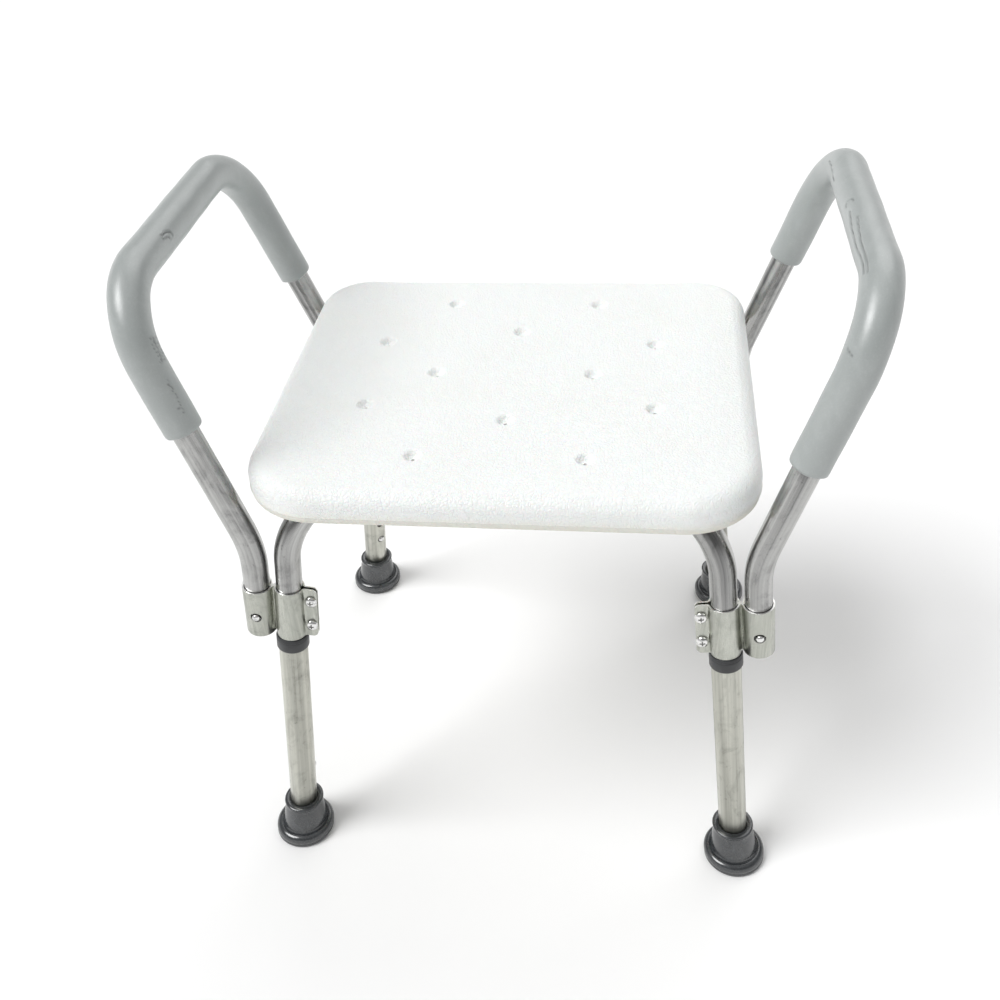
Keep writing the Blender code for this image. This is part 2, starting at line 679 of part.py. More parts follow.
def build_arms():
    for sx, side in ((1, "right"), (-1, "left")):
        corners = arm_corners(sx)
        path = rounded_path(corners, [ARM_KNEE_BEND, ARM_TOP_BEND, ARM_TOP_BEND, ARM_KNEE_BEND])
        bent = tube(f"arm_tube_{side}", path, ARM_TUBE / 2, ARM_WALL, GRIP_SIDES)
        arm = place(bent, f"arm_tube_{side}", "aluminium")
        walls = [socket_point(sx, sy) + Vector((0, sy * ARM_TUBE / 2, 0)) for sy in (-1, 1)]
        holes = [(wall, (0, 1, 0), BUTTON_HOLE, 0.014) for wall in walls]
        combine(arm, rods(f"arm_holes_{side}", holes))


def build_grips():
    """Foam sleeves over the top bar and both corners of each arm."""
    for sx, side in ((1, "right"), (-1, "left")):
        corners = arm_corners(sx)
        ends = []
        for index, shift in ((1, -sx), (4, sx)):
            knee, top = corners[index], corners[2 if index == 1 else 3]
            share = (GRIP_END + shift * GRIP_SHIFT - knee.z) / (top.z - knee.z)
            ends.append(knee.lerp(top, share))
        path = rounded_path([ends[0], corners[2], corners[3], ends[1]], [ARM_TOP_BEND, ARM_TOP_BEND])
        wall = GRIP_DIAMETER / 2 * cos(pi / GRIP_SIDES) - GRIP_BORE
        sleeve = tube(f"grip_{side}", path, GRIP_DIAMETER / 2, wall, GRIP_SIDES)
        place(sleeve, f"grip_{side}", "foam")


# ---------------------------------------------------------------- the whole
build_seat()
build_frame()
build_rivet()
build_seat_screws()
build_brackets()
build_clamp_screws()
build_lower_legs()
build_collars()
build_feet()
build_snap_buttons()
build_arms()
build_grips()
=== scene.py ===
"""Looks of a bath seat: moulded seat, bent aluminium frame, clamps, legs, arms and foam grips.

Metres, +Z up, the front faces -Y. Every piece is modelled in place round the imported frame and
rides on one of its bodies, so the pieces move as the frame's joints do.
"""
import json
from math import asin, atan2, ceil, cos, hypot, pi, radians, sin, sqrt, tan

import bmesh
import bpy
from bpy.props import FloatProperty, FloatVectorProperty, IntProperty, PointerProperty
from bpy.types import Operator, Panel, PropertyGroup
from mathutils import Matrix, Vector
from mathutils.kdtree import KDTree


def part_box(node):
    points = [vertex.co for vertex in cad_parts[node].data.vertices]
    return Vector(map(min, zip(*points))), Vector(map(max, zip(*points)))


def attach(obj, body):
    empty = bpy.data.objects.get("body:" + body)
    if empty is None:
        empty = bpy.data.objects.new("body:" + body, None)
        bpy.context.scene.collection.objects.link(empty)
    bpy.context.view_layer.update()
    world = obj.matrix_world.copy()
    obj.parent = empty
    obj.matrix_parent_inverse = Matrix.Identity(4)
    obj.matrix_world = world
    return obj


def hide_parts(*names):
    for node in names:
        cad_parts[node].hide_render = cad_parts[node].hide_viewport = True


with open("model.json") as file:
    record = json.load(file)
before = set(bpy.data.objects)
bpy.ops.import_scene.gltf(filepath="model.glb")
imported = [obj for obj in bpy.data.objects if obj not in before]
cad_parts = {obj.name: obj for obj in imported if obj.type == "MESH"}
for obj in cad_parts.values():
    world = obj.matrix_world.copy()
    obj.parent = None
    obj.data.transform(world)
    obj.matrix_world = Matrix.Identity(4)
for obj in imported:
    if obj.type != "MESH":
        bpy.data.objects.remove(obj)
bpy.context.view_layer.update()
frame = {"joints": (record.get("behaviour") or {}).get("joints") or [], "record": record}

bl_info = {
    "name": "Bath Seat",
    "version": (1, 0, 0),
    "blender": (4, 5, 0),
    "location": "View3D > Sidebar > Bath Seat",
    "description": "Models a bath seat with lift-off arms and adjustable legs round its frame",
    "category": "Add Mesh",
}

MOUNTS = {mount["name"]: Vector(mount["pos_m"]) for mount in frame["record"]["mounts"]}
SLIDES = {joint["name"]: Vector(joint["axis"]) for joint in frame["joints"]}
CORNERS = {"front_right": (1, -1), "front_left": (-1, -1), "rear_right": (1, 1), "rear_left": (-1, 1)}
SIDES = {"right": 1, "left": -1}
SEAT_LOW, SEAT_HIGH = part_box("seat")
GAP = 0.0003  # air left between neighbouring pieces
NEAR = 0.00001  # points closer than this count as one
FINE_ARC = radians(1.3)  # a step round the grips' bends


def length(label, description, default, **more):
    """A size property in metres."""
    return FloatProperty(name=label, description=description, default=default, unit="LENGTH",
                         precision=5, **more)


def colour(label, description, default):
    return FloatVectorProperty(name=label, description=description, default=default, size=3,
                               subtype="COLOR", min=0.0, max=1.0)


def count(label, description, default):
    return IntProperty(name=label, description=description, default=default, min=3)


# ---------------------------------------------------------------- sizes and colours
class SeatShape(PropertyGroup):
    """Sizes of the moulded seat."""
    corner_front: length("Front corners", "Radius of the two front corners in plan", 0.062)
    corner_rear: length("Rear corners", "Radius of the two rear corners in plan", 0.050)
    top_round: length("Top edge", "Radius of the rounding round the top", 0.0150)
    bottom_round: length("Bottom edge", "Radius of the rounding round the underside", 0.0060)
    cell: length("Mesh cell", "Spacing of the surface mesh", 0.0041)
    side_rise: length("Side rise", "How much the left and right margins stand above the middle", 0.0014)
    side_margin: length("Side margin", "Width of the raised margins", 0.046)
    side_blend: length("Side blend", "Width over which a margin runs down to the middle", 0.034)
    front_drop: length("Front drop", "How much the middle of the front edge falls away", 0.0026)
    front_margin: length("Front margin", "Depth over which the front edge falls away", 0.048)
    drain_mouth: length("Drain mouth", "Radius of the dimple round a drain", 0.0088)
    drain_depth: length("Drain depth", "Depth of the dimple round a drain", 0.0052)
    drain_bore: length("Drain bore", "Radius of the hole through a drain", 0.0016)
    seam_height: length("Seam height", "Height of the mould's parting line above the underside", 0.0085)
    seam_ridge: length("Seam ridge", "How far the parting line stands out", 0.0005)
    vent_radius: length("Vent", "Radius of the blow vent in the underside", 0.0040)


class FrameShape(PropertyGroup):
    """Sizes of the bent tubes, clamps and fasteners."""
    tube: length("Tube", "Outer radius of the frame and arm tubes", 0.0111)
    wall: length("Tube wall", "Wall thickness of the tubes", 0.0014)
    bend: length("Corner bend", "Bend radius where a frame tube turns down into its leg", 0.053)
    tube_end: length("Tube end", "Height of the frame tube's end inside the leg", 0.058)
    flat_half: length("Flat half height", "Half the height of a tube where it is pressed flat", 0.0042)
    flat_reach: length("Flat reach", "Half length of the pressed part", 0.046)
    flat_blend: length("Flat blend", "Length over which round turns to flat", 0.022)
    rivet: length("Rivet", "Radius of the rivet through the crossing", 0.0030)
    screw_reach: length("Seat screws", "Distance of the seat screws from the centre", 0.145)
    screw_hole: length("Seat screw hole", "Radius of the seat screws' holes", 0.0034)
    pan_head: length("Pan head", "Radius of the seat screws' and the rivet's heads", 0.0058)
    ear_hole: length("Ear hole", "Radius of the holes through the ears", 0.0028)
    collar_gap: length("Collar gap", "Air between the clamps and the collars", 0.0004)
    clamp_top: length("Clamp top", "Height of the clamps' top on the leg's axis", 0.3036)
    clamp_height: length("Clamp height", "Height of the clamps", 0.0503)
    strip: length("Strip", "Thickness of the clamps' metal", 0.0015)
    play: length("Play", "Clearance between a clamp's loop and its tube", 0.0004)
    ear_length: length("Ear length", "How far the ears stand out from the leg's loop", 0.0108)
    clamp_head: length("Clamp screw head", "Radius of the clamp screws' heads", 0.0054)
    ear_gap: length("Ear gap", "Half the slit between the ears", 0.0012)
    ear_round: length("Ear corner", "Radius of the ears' corners", 0.0043)
    fold: length("Fold", "Inner radius of the folds in the strip", 0.0014)
    screw_out: length("Clamp screws", "Distance of the clamp screws from the leg's axis", 0.0188)
    screw_spacing: length("Screw spacing", "Distance between a clamp's two screws", 0.0256)
    lock_hole: length("Lock hole", "Radius of the hole that a snap button stands in", 0.0049)


class LegShape(PropertyGroup):
    """Sizes of the lower legs, collars, feet and snap buttons."""
    tube: length("Leg tube", "Outer radius of the lower legs", 0.0127)
    wall: length("Leg wall", "Wall thickness of the lower legs", 0.0012)
    tube_end: length("Leg end", "Height of the lower leg's end inside its foot", 0.0096)
    collar: length("Collar", "Outer radius of the collars", 0.0142)
    collar_height: length("Collar height", "Height of the collars", 0.0140)
    collar_lip: length("Collar lip", "Thickness of the collar's inner lip", 0.0030)
    foot_height: length("Foot height", "Height of the rubber feet", 0.0422)
    foot_flange: length("Foot flange", "Radius of the feet's flange", 0.0283)
    foot_sleeve: length("Foot sleeve", "Radius of the feet's sleeve at its top", 0.0187)
    foot_floor: length("Foot floor", "Rubber under the leg's end", 0.0070)
    button_height: length("Button height", "Height of the snap buttons in the legs", 0.081)
    button: length("Button", "Radius of the snap buttons", 0.0034)
    pitch: length("Hole pitch", "Spacing of the height settings", 0.0254)
    holes: count("Holes", "Number of height settings", 5)


class ArmShape(PropertyGroup):
    """Sizes of the arms and their foam grips."""
    socket_x: length("Socket width", "Distance of the sockets from the middle, at the clamps' top",
                     0.2094)
    socket_y: length("Socket depth", "Distance of the sockets from the middle, front to back", 0.1586)
    top_x: length("Top width", "Distance of the top bar from the middle", 0.2751)
    top_y: length("Top depth", "Half length of the top bar, between its corners", 0.1406)
    top_z: length("Top height", "Height of the top bar's axis", 0.5662)
    knee: length("Knee", "Height where an arm turns outward", 0.348)
    knee_bend: length("Knee bend", "Bend radius at the knee", 0.093)
    top_bend: length("Top bend", "Bend radius at the top corners", 0.064)
    end: length("Arm end", "Height of an arm's ends", 0.2582)
    grip: length("Grip", "Outer radius of the foam grips", 0.0156)
    grip_bore: length("Grip bore", "Inner radius of the foam grips", 0.01135)
    grip_end: length("Grip ends", "Mean height of a grip's ends", 0.4472)
    grip_shift: length("Grip shift", "How far each grip sits off centre", 0.0102, min=-0.1)
    grip_round: length("Grip edge", "Rounding of the foam at its ends", 0.0034)


class FinishColours(PropertyGroup):
    """Colours of the finishes."""
    seat: colour("Seat", "White of the moulded plastic", (0.865, 0.885, 0.875))
    # Colour that the sides turn to towards the bottom: darker and creamier.
    seat_low: colour("Seat underside", "Creamier plastic low on the sides", (0.74, 0.72, 0.62))
    tube: colour("Tubes", "Satin aluminium of the frame and arms", (0.490, 0.490, 0.480))
    # Dark colour of the tubes' smudges and of their bands of painted dark reflection, which stand for a
    # darker room seen in the metal.
    tube_smudge_and_reflection: colour("Dull tube", "Duller bands of the tubes", (0.135, 0.135, 0.135))
    leg: colour("Legs", "Satin aluminium of the lower legs", (0.60, 0.60, 0.54))
    # Dark colour of the legs' smudges and of their streaks of painted dark reflection.
    leg_smudge_and_reflection: colour("Dull leg", "Streaks and smudges on the lower legs", (0.22, 0.22, 0.195))
    clamp: colour("Clamps", "Satin aluminium of the clamps", (0.52, 0.53, 0.48))
    # Dark colour of the clamps' scratches and of their bands of painted dark reflection.
    clamp_scratch_and_reflection: colour("Dull clamp", "Scratches on the clamps", (0.20, 0.21, 0.185))
    # Painted highlight: the pale colour of the clamps' top and bottom rims.
    clamp_rim_highlight: colour("Clamp rims", "Burnished cut edges of the clamps", (0.93, 0.93, 0.92))
    steel: colour("Steel", "Plated steel of the screws and buttons", (0.80, 0.80, 0.79))
    rubber: colour("Rubber", "Rubber of the feet", (0.026, 0.029, 0.032))
    collar: colour("Collars", "Plastic of the collars", (0.026, 0.027, 0.029))
    foam: colour("Foam", "Grey foam of the grips", (0.330, 0.354, 0.348))
    foam_worn: colour("Worn foam", "Scuffed foam", (0.430, 0.455, 0.448))
    floor: colour("Floor", "Pale floor", (0.95, 0.95, 0.95))


class StageShape(PropertyGroup):
    """Camera and lights."""
    eye: FloatVectorProperty(name="Eye", description="Place of the camera", size=3, unit="LENGTH",
                             precision=5, default=(0.10914, -0.82396, 0.93718))
    turn: FloatProperty(name="Turn", description="Camera's turn to the left", unit="ROTATION",
                        default=radians(8.93))
    tilt: FloatProperty(name="Tilt", description="Camera's tilt below level", unit="ROTATION",
                        default=radians(38.31))
    roll: FloatProperty(name="Roll", description="Camera's roll", unit="ROTATION",
                        default=radians(-3.95))
    lens: FloatProperty(name="Lens", description="Focal length on a 36 mm wide frame", default=40.0)
    floor_size: length("Floor size", "Width of the floor", 40.0)
    key: FloatProperty(name="Key", description="Strength of the light from the left", default=2.15)
    back: FloatProperty(name="Back", description="Strength of the light from behind", default=0.85)
    sky: FloatProperty(name="Sky", description="Strength of the light from all round", default=0.95)


# ---------------------------------------------------------------- modelling by hand
def start():
    """Object mode with nothing selected, so that an operator acts on the new piece alone."""
    if bpy.context.mode != "OBJECT":
        bpy.ops.object.mode_set(mode="OBJECT")
    bpy.ops.object.select_all(action="DESELECT")


def named(name):
    """Names the new primitive, puts its place into its mesh and opens it for editing."""
    piece = bpy.context.object
    piece.name = piece.data.name = name
    bpy.ops.object.transform_apply(location=True, rotation=True, scale=True)
    bpy.ops.object.mode_set(mode="EDIT")
    bpy.ops.mesh.select_mode(type="VERT")
    bpy.ops.mesh.select_all(action="SELECT")
    return piece


def select(test, kind="EDGE"):
    """Selects those vertices, edges or faces whose corners all pass a test of their place."""
    bpy.ops.mesh.select_mode(type=kind)
    bpy.ops.mesh.select_all(action="DESELECT")
    mesh = bpy.context.object.data
    shape = bmesh.from_edit_mesh(mesh)
    things = {"VERT": shape.verts, "EDGE": shape.edges, "FACE": shape.faces}[kind]
    for thing in things:
        corners = [thing] if kind == "VERT" else thing.verts
        if all(test(corner.co) for corner in corners):
            thing.select_set(True)
    bmesh.update_edit_mesh(mesh)


def extrude(step):
    bpy.ops.mesh.extrude_region_move(TRANSFORM_OT_translate={"value": tuple(step)})


def modifier(piece, kind, **settings):
    """Adds a modifier and applies it."""
    start()
    piece.select_set(True)
    bpy.context.view_layer.objects.active = piece
    added = piece.modifiers.new(kind.title(), kind)
    for key, value in settings.items():
        setattr(added, key, value)
    bpy.ops.object.modifier_apply(modifier=added.name)


def cut(piece, *tools):
    """Cuts other shapes out of a piece and removes them."""
    for tool in tools:
        modifier(piece, "BOOLEAN", object=tool, operation="DIFFERENCE", solver="EXACT")
        bpy.data.objects.remove(tool, do_unlink=True)


def drill(piece, places, radius, depth, sides=32):
    """Cuts round holes, each given by its middle and its direction."""
    for middle, direction in places:
        start()
        bpy.ops.mesh.primitive_cylinder_add(
            vertices=sides, radius=radius, depth=depth, location=middle,
            rotation=Vector(direction).to_track_quat("Z", "Y").to_euler(),
        )
        cut(piece, bpy.context.object)


def round_edges(piece, width, segments=2, angle=40):
    modifier(piece, "BEVEL", width=width, segments=segments, limit_method="ANGLE",
             angle_limit=radians(angle), harden_normals=False)


def smooth(piece, angle=35):
    start()
    piece.select_set(True)
    bpy.context.view_layer.objects.active = piece
    bpy.ops.object.shade_smooth_by_angle(angle=radians(angle))
    for added in list(piece.modifiers):
        bpy.ops.object.modifier_apply(modifier=added.name)


def finished(piece, body, slot, material, *nodes, angle=35):
    """Shades a piece, paints it and hangs it on its body in place of its plain solid."""
    smooth(piece, angle)
    piece.data.materials.clear()
    piece.data.materials.append(material)
    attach(piece, body)
    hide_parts(*nodes)
    return piece


def moved_copy(piece, name, matrix):
    """A copy of a piece with its own mesh, moved or mirrored by a matrix."""
    copy = piece.copy()
    copy.data = piece.data.copy()
    copy.name = copy.data.name = name
    copy.data.transform(matrix)
    if matrix.determinant() < 0:
        copy.data.flip_normals()
    bpy.context.scene.collection.objects.link(copy)
    return copy


def remove(piece):
    bpy.data.objects.remove(piece, do_unlink=True)


def mirror_to(corner):
    """The matrix that takes a front right piece to another corner."""
    sx, sy = CORNERS[corner]
    return Matrix.Diagonal((sx, -sy, 1, 1))


def ease(value, low, high):
    """0 below low, 1 above high and a soft step between."""
    t = min(1.0, max(0.0, (value - low) / (high - low)))
    return t * t * (3 - 2 * t)


def bump(distance, width):
    """1 at no distance, falling softly to 0 at a width."""
    return 1 - ease(abs(distance), 0, width)


def arc(centre, radius, first, last, steps):
    """Points (x, y) on an arc, its angles in radians, both ends included."""
    turns = [first + (last - first) * i / steps for i in range(steps + 1)]
    return [(centre[0] + radius * cos(turn), centre[1] + radius * sin(turn)) for turn in turns]


def dome(radius, height, angles, base=0.0):
    """Outline (radius, height) of a dome on a base, at angles in degrees above its rim."""
    return [(radius * cos(turn), base + height * sin(turn)) for turn in map(radians, angles)]


def lathe(name, profile, steps=48):
    """A profile of (radius, height) points spun about Z. Its ends are on the axis, or meet."""
    start()
    bpy.ops.mesh.primitive_plane_add(size=0.01, location=(profile[0][0], 0, profile[0][1]))
    piece = named(name)
    bpy.ops.mesh.merge(type="CENTER")
    for (radius, height), (next_radius, next_height) in zip(profile, profile[1:]):
        extrude((next_radius - radius, 0, next_height - height))
    bpy.ops.mesh.select_all(action="SELECT")
    bpy.ops.mesh.spin(steps=steps, angle=2 * pi, center=(0, 0, 0), axis=(0, 0, 1))
    bpy.ops.mesh.select_all(action="SELECT")
    bpy.ops.mesh.remove_doubles(threshold=NEAR)
    bpy.ops.mesh.normals_make_consistent(inside=False)
    start()
    return piece


def bends_of(corners, radii):
    """For each bend of a path: its start, end, centre, axis and turn."""
    found = []
    for before, corner, after, radius in zip(corners, corners[1:], corners[2:], radii):
        along, onward = (corner - before).normalized(), (after - corner).normalized()
        turn = along.angle(onward)
        reach = radius * tan(turn / 2)
        axis = along.cross(onward).normalized()
        first = corner - along * reach
        found.append((first, corner + onward * reach, first + axis.cross(along) * radius, axis, turn))
    return found


def bent_tube(name, corners, radii, radius, sides=48, cuts=None, arc_step=radians(4)):
    """A round tube's skin along straight runs joined by bends, by extruding and spinning a ring.
    cuts says in how many steps each straight run is made."""
    start()
    first = (corners[1] - corners[0]).normalized()
    bpy.ops.mesh.primitive_circle_add(vertices=sides, radius=radius, location=corners[0],
                                      rotation=first.to_track_quat("Z", "Y").to_euler())
    piece = named(name)
    here = corners[0]
    turns = bends_of(corners, radii)
    cuts = cuts or [1] * (len(turns) + 1)
    for (begin, end, centre, axis, turn), steps in zip(turns, cuts):
        for _ in range(steps):
            extrude((begin - here) / steps)
        bpy.ops.mesh.spin(steps=ceil(turn / arc_step), angle=-turn, center=centre, axis=axis)
        here = end
    for _ in range(cuts[-1]):
        extrude((corners[-1] - here) / cuts[-1])
    bpy.ops.mesh.select_all(action="SELECT")
    bpy.ops.mesh.normals_make_consistent(inside=False)
    start()
    return piece


def path_of(corners, radii, step=0.002):
    """Closely spaced points along a bent path's axis."""
    points, here = [], corners[0]

    def run(to):
        steps = max(1, ceil((to - here).length / step))
        points.extend(here.lerp(to, i / steps) for i in range(steps))

    for (begin, end, centre, axis, turn), radius in zip(bends_of(corners, radii), radii):
        run(begin)
        steps = ceil(turn * radius / step)
        points.extend(
            centre + Matrix.Rotation(turn * i / steps, 3, axis) @ (begin - centre) for i in range(steps)
        )
        here = end
    run(corners[-1])
    return points + [corners[-1]]


def straightened(piece, path, shift=0.0):
    """Stores on each vertex, as "run", where it would be with its bent tube pulled straight
    along Z, so that a finish can follow the tube. Returns those places."""
    tree = KDTree(len(path))
    frames, along = [], shift
    side = (path[1] - path[0]).orthogonal().normalized()
    for i, point in enumerate(path):
        tree.insert(point, i)
        ahead = path[min(i + 1, len(path) - 1)] - path[max(i - 1, 0)]
        ahead.normalize()
        side = (side - ahead * side.dot(ahead)).normalized()
        if i:
            along += (point - path[i - 1]).length
        frames.append((point, ahead, side, ahead.cross(side), along))
    tree.balance()
    attribute = piece.data.attributes.new("run", "FLOAT_VECTOR", "POINT")
    places = []
    for vertex, stored in zip(piece.data.vertices, attribute.data):
        point, ahead, side, across, far = frames[tree.find(vertex.co)[1]]
        out = vertex.co - point
        stored.vector = (out.dot(side), out.dot(across), far + out.dot(ahead))
        places.append(stored.vector.copy())
    return places


def strip(name, points, height):
    """An upright strip of sheet, from an edge extruded from point to point."""
    start()
    x, y = points[0]
    bpy.ops.mesh.primitive_plane_add(size=height, location=(x, y, 0), rotation=(pi / 2, 0, 0))
    piece = named(name)
    bpy.ops.mesh.delete(type="ONLY_FACE")
    select(lambda co: co.x > x, "VERT")
    bpy.ops.mesh.delete(type="VERT")
    bpy.ops.mesh.select_all(action="SELECT")
    extrude((height / 2 + points[1][0] - x, points[1][1] - y, 0))
    select(lambda co: co.x < x - height * 0.4, "VERT")
    bpy.ops.transform.translate(value=(height / 2, 0, 0))
    select(lambda co: hypot(co.x - points[1][0], co.y - points[1][1]) < NEAR, "EDGE")
    for (now_x, now_y), (next_x, next_y) in zip(points[1:], points[2:]):
        extrude((next_x - now_x, next_y - now_y, 0))
    bpy.ops.mesh.select_all(action="SELECT")
    bpy.ops.mesh.normals_make_consistent(inside=False)
    start()
    return piece


# ---------------------------------------------------------------- places
def upright(corner):
    """Direction up along a leg."""
    return -SLIDES[f"leg_height_{corner}"].normalized()


def on_leg(corner, height):
    up = upright(corner)
    return MOUNTS[f"foot_base_{corner}"] + up * (height / up.z)


def inward(corner):
    """Level direction from a leg to the middle."""
    point = MOUNTS[f"foot_base_{corner}"]
    return -Vector((point.x, point.y, 0)).normalized()


def frame_at(origin, up, along):
    """A matrix with Z along up and X as near to along as it can be."""
    z = up.normalized()
    x = (along - z * along.dot(z)).normalized()
    return Matrix.Translation(origin) @ Matrix((x, z.cross(x), z)).transposed().to_4x4()


def leg_frame(corner, height):
    return frame_at(on_leg(corner, height), upright(corner), inward(corner))


def level_height(shape):
    """Height of the frame tubes' axis under the seat."""
    return SEAT_LOW.z - GAP - shape.tube


def screw_place(corner, height, frames):
    """A point on a seat screw's axis."""
    return inward(corner) * -frames.screw_reach + Vector((0, 0, height))


def collar_top(frames):
    """Height of the collars' tops on the legs' axes."""
    return frames.clamp_top - frames.clamp_height - frames.collar_gap


def clamp_middle(frames):
    """Height of the clamps' middle on the legs' axes."""
    return frames.clamp_top - frames.clamp_height / 2


def socket_point(side, end, height, arms, frames):
    """A point on an arm socket's axis. side and end are 1 or -1."""
    up = SLIDES["arm_lift_right" if side > 0 else "arm_lift_left"]
    drop = height - frames.clamp_top
    return Vector((side * arms.socket_x + up.x / up.z * drop, end * arms.socket_y, height))


def drain_places():
    """The twelve drains, as (x, y)."""
    pairs = ((0.0687, 0.1243), (0.1223, 0.0518))
    places = [(sx * x, sy * y) for x, y in pairs for sx in (1, -1) for sy in (1, -1)]
    return places + [(0.0, 0.0718), (0.0, -0.0718), (0.0688, 0.0), (-0.0688, 0.0)]


# ---------------------------------------------------------------- finishes
class Wire:
    """A node's output that takes part in sums, each of which adds a Math node."""

    def __init__(self, paint, output):
        self.paint, self.output = paint, output

    def maths(self, operation, first, second):
        return self.paint.node("ShaderNodeMath", {"operation": operation}, {0: first, 1: second})

    def __add__(self, other):
        return self.maths("ADD", self, other)

    def __radd__(self, other):
        return self.maths("ADD", other, self)

    def __sub__(self, other):
        return self.maths("SUBTRACT", self, other)

    def __rsub__(self, other):
        return self.maths("SUBTRACT", other, self)

    def __mul__(self, other):
        return self.maths("MULTIPLY", self, other)

    def __rmul__(self, other):
        return self.maths("MULTIPLY", other, self)


class Paint:
    """A material under construction."""

    def __init__(self, name, **constants):
        self.material = bpy.data.materials.new(name)
        self.material.use_nodes = True
        self.tree = self.material.node_tree
        self.shader = self.tree.nodes["Principled BSDF"]
        for label, value in constants.items():
            socket = label.replace("_", " ").title().replace("Ior", "IOR")
            self.shader.inputs[socket].default_value = value

    def node(self, kind, settings=None, values=None, output=0):
        """Adds a node. Settings come first, then the values or wires of its sockets."""
        node = self.tree.nodes.new(kind)
        for label, value in (settings or {}).items():
            if label == "stops":
                ramp = node.color_ramp.elements
                for _ in range(len(value) - len(ramp)):
                    ramp.new(0.5)
                for stop, (place, grey) in zip(ramp, value):
                    stop.position, stop.color = place, (grey, grey, grey, 1)
            else:
                setattr(node, label, value)
        for label, value in (values or {}).items():
            if isinstance(value, Wire):
                self.tree.links.new(value.output, node.inputs[label])
            else:
                node.inputs[label].default_value = value
        return Wire(self, node.outputs[output])

    def place(self, scale=(1, 1, 1), run=False):
        """The surface's own coordinates, stretched. With run, those along its bent tube."""
        if run:
            spot = self.node("ShaderNodeAttribute", {"attribute_name": "run"}, output="Vector")
        else:
            spot = self.node("ShaderNodeTexCoord", output="Object")
        return self.node("ShaderNodeMapping", values={"Vector": spot, "Scale": scale})

    def cloud(self, where, scale, detail=3.0, roughness=0.5, distortion=0.0):
        return self.node("ShaderNodeTexNoise", values={
            "Vector": where, "Scale": scale, "Detail": detail, "Roughness": roughness,
            "Distortion": distortion})

    def cells(self, where, scale, feature="F1"):
        return self.node("ShaderNodeTexVoronoi", {"feature": feature},
                         {"Vector": where, "Scale": scale}, output="Distance")

    def ramp(self, value, *stops):
        """A value through a ramp of (place, grey) stops."""
        return self.node("ShaderNodeValToRGB", {"stops": stops}, {"Fac": value})

    def blend(self, factor, first, second):
        """One colour to another by a factor."""
        def rgba(value):
            return value if isinstance(value, Wire) else (*value, 1.0)
        return self.node("ShaderNodeMix", {"data_type": "RGBA"},
                         {0: factor, 6: rgba(first), 7: rgba(second)}, output=2)

    def relief(self, height, strength, distance, under=None):
        values = {"Height": height, "Strength": strength, "Distance": distance}
        if under is not None:
            values["Normal"] = under
        return self.node("ShaderNodeBump", values=values)

    def wear(self, **links):
        """Feeds the shader's sockets and returns the material."""
        for label, wire in links.items():
            self.tree.links.new(wire.output, self.shader.inputs[label.replace("_", " ").title()])
        return self.material


def seat_plastic(colours):
    """White blow-moulded plastic with a wavy leather grain; its colour turns darker and creamier towards
    the bottom of its sides.
    """
    paint = Paint("seat_plastic", ior=1.5, subsurface_weight=0.10, subsurface_scale=0.003)
    where = paint.place()
    warp = paint.node("ShaderNodeTexNoise", values={"Vector": where, "Scale": 150.0, "Detail": 2.0},
                      output="Color")
    bent = paint.node("ShaderNodeVectorMath", {"operation": "MULTIPLY_ADD"}, {
        0: warp, 1: (0.0030, 0.0030, 0.0030), 2: where})
    grain = paint.ramp(paint.cells(bent, 330.0, "DISTANCE_TO_EDGE"), (0.0, 0.0), (0.20, 0.8), (0.6, 1.0))
    waves = paint.cloud(bent, 105.0, 4.0, 0.6, 1.6)
    height = paint.node("ShaderNodeSeparateXYZ", values={"Vector": where}, output="Z")
    # Darker and creamier towards the bottom of the sides, with some random creamy patches.
    low = paint.node("ShaderNodeMapRange", {"interpolation_type": "SMOOTHSTEP"}, {
        "Value": height, "From Min": SEAT_LOW.z + 0.016, "From Max": SEAT_LOW.z + 0.001})
    clouds = paint.cloud(where, 14.0, 3.0)
    cream = low * 0.80 + paint.ramp(clouds, (0.45, 0.0), (0.75, 1.0)) * 0.10
    rough = paint.cloud(where, 60.0) * 0.16 + 0.30
    relief = paint.relief(grain * 0.5 + waves * 1.2, 0.75, 0.0008)
    return paint.wear(base_color=paint.blend(cream, colours.seat, colours.seat_low), roughness=rough,
                      normal=relief)


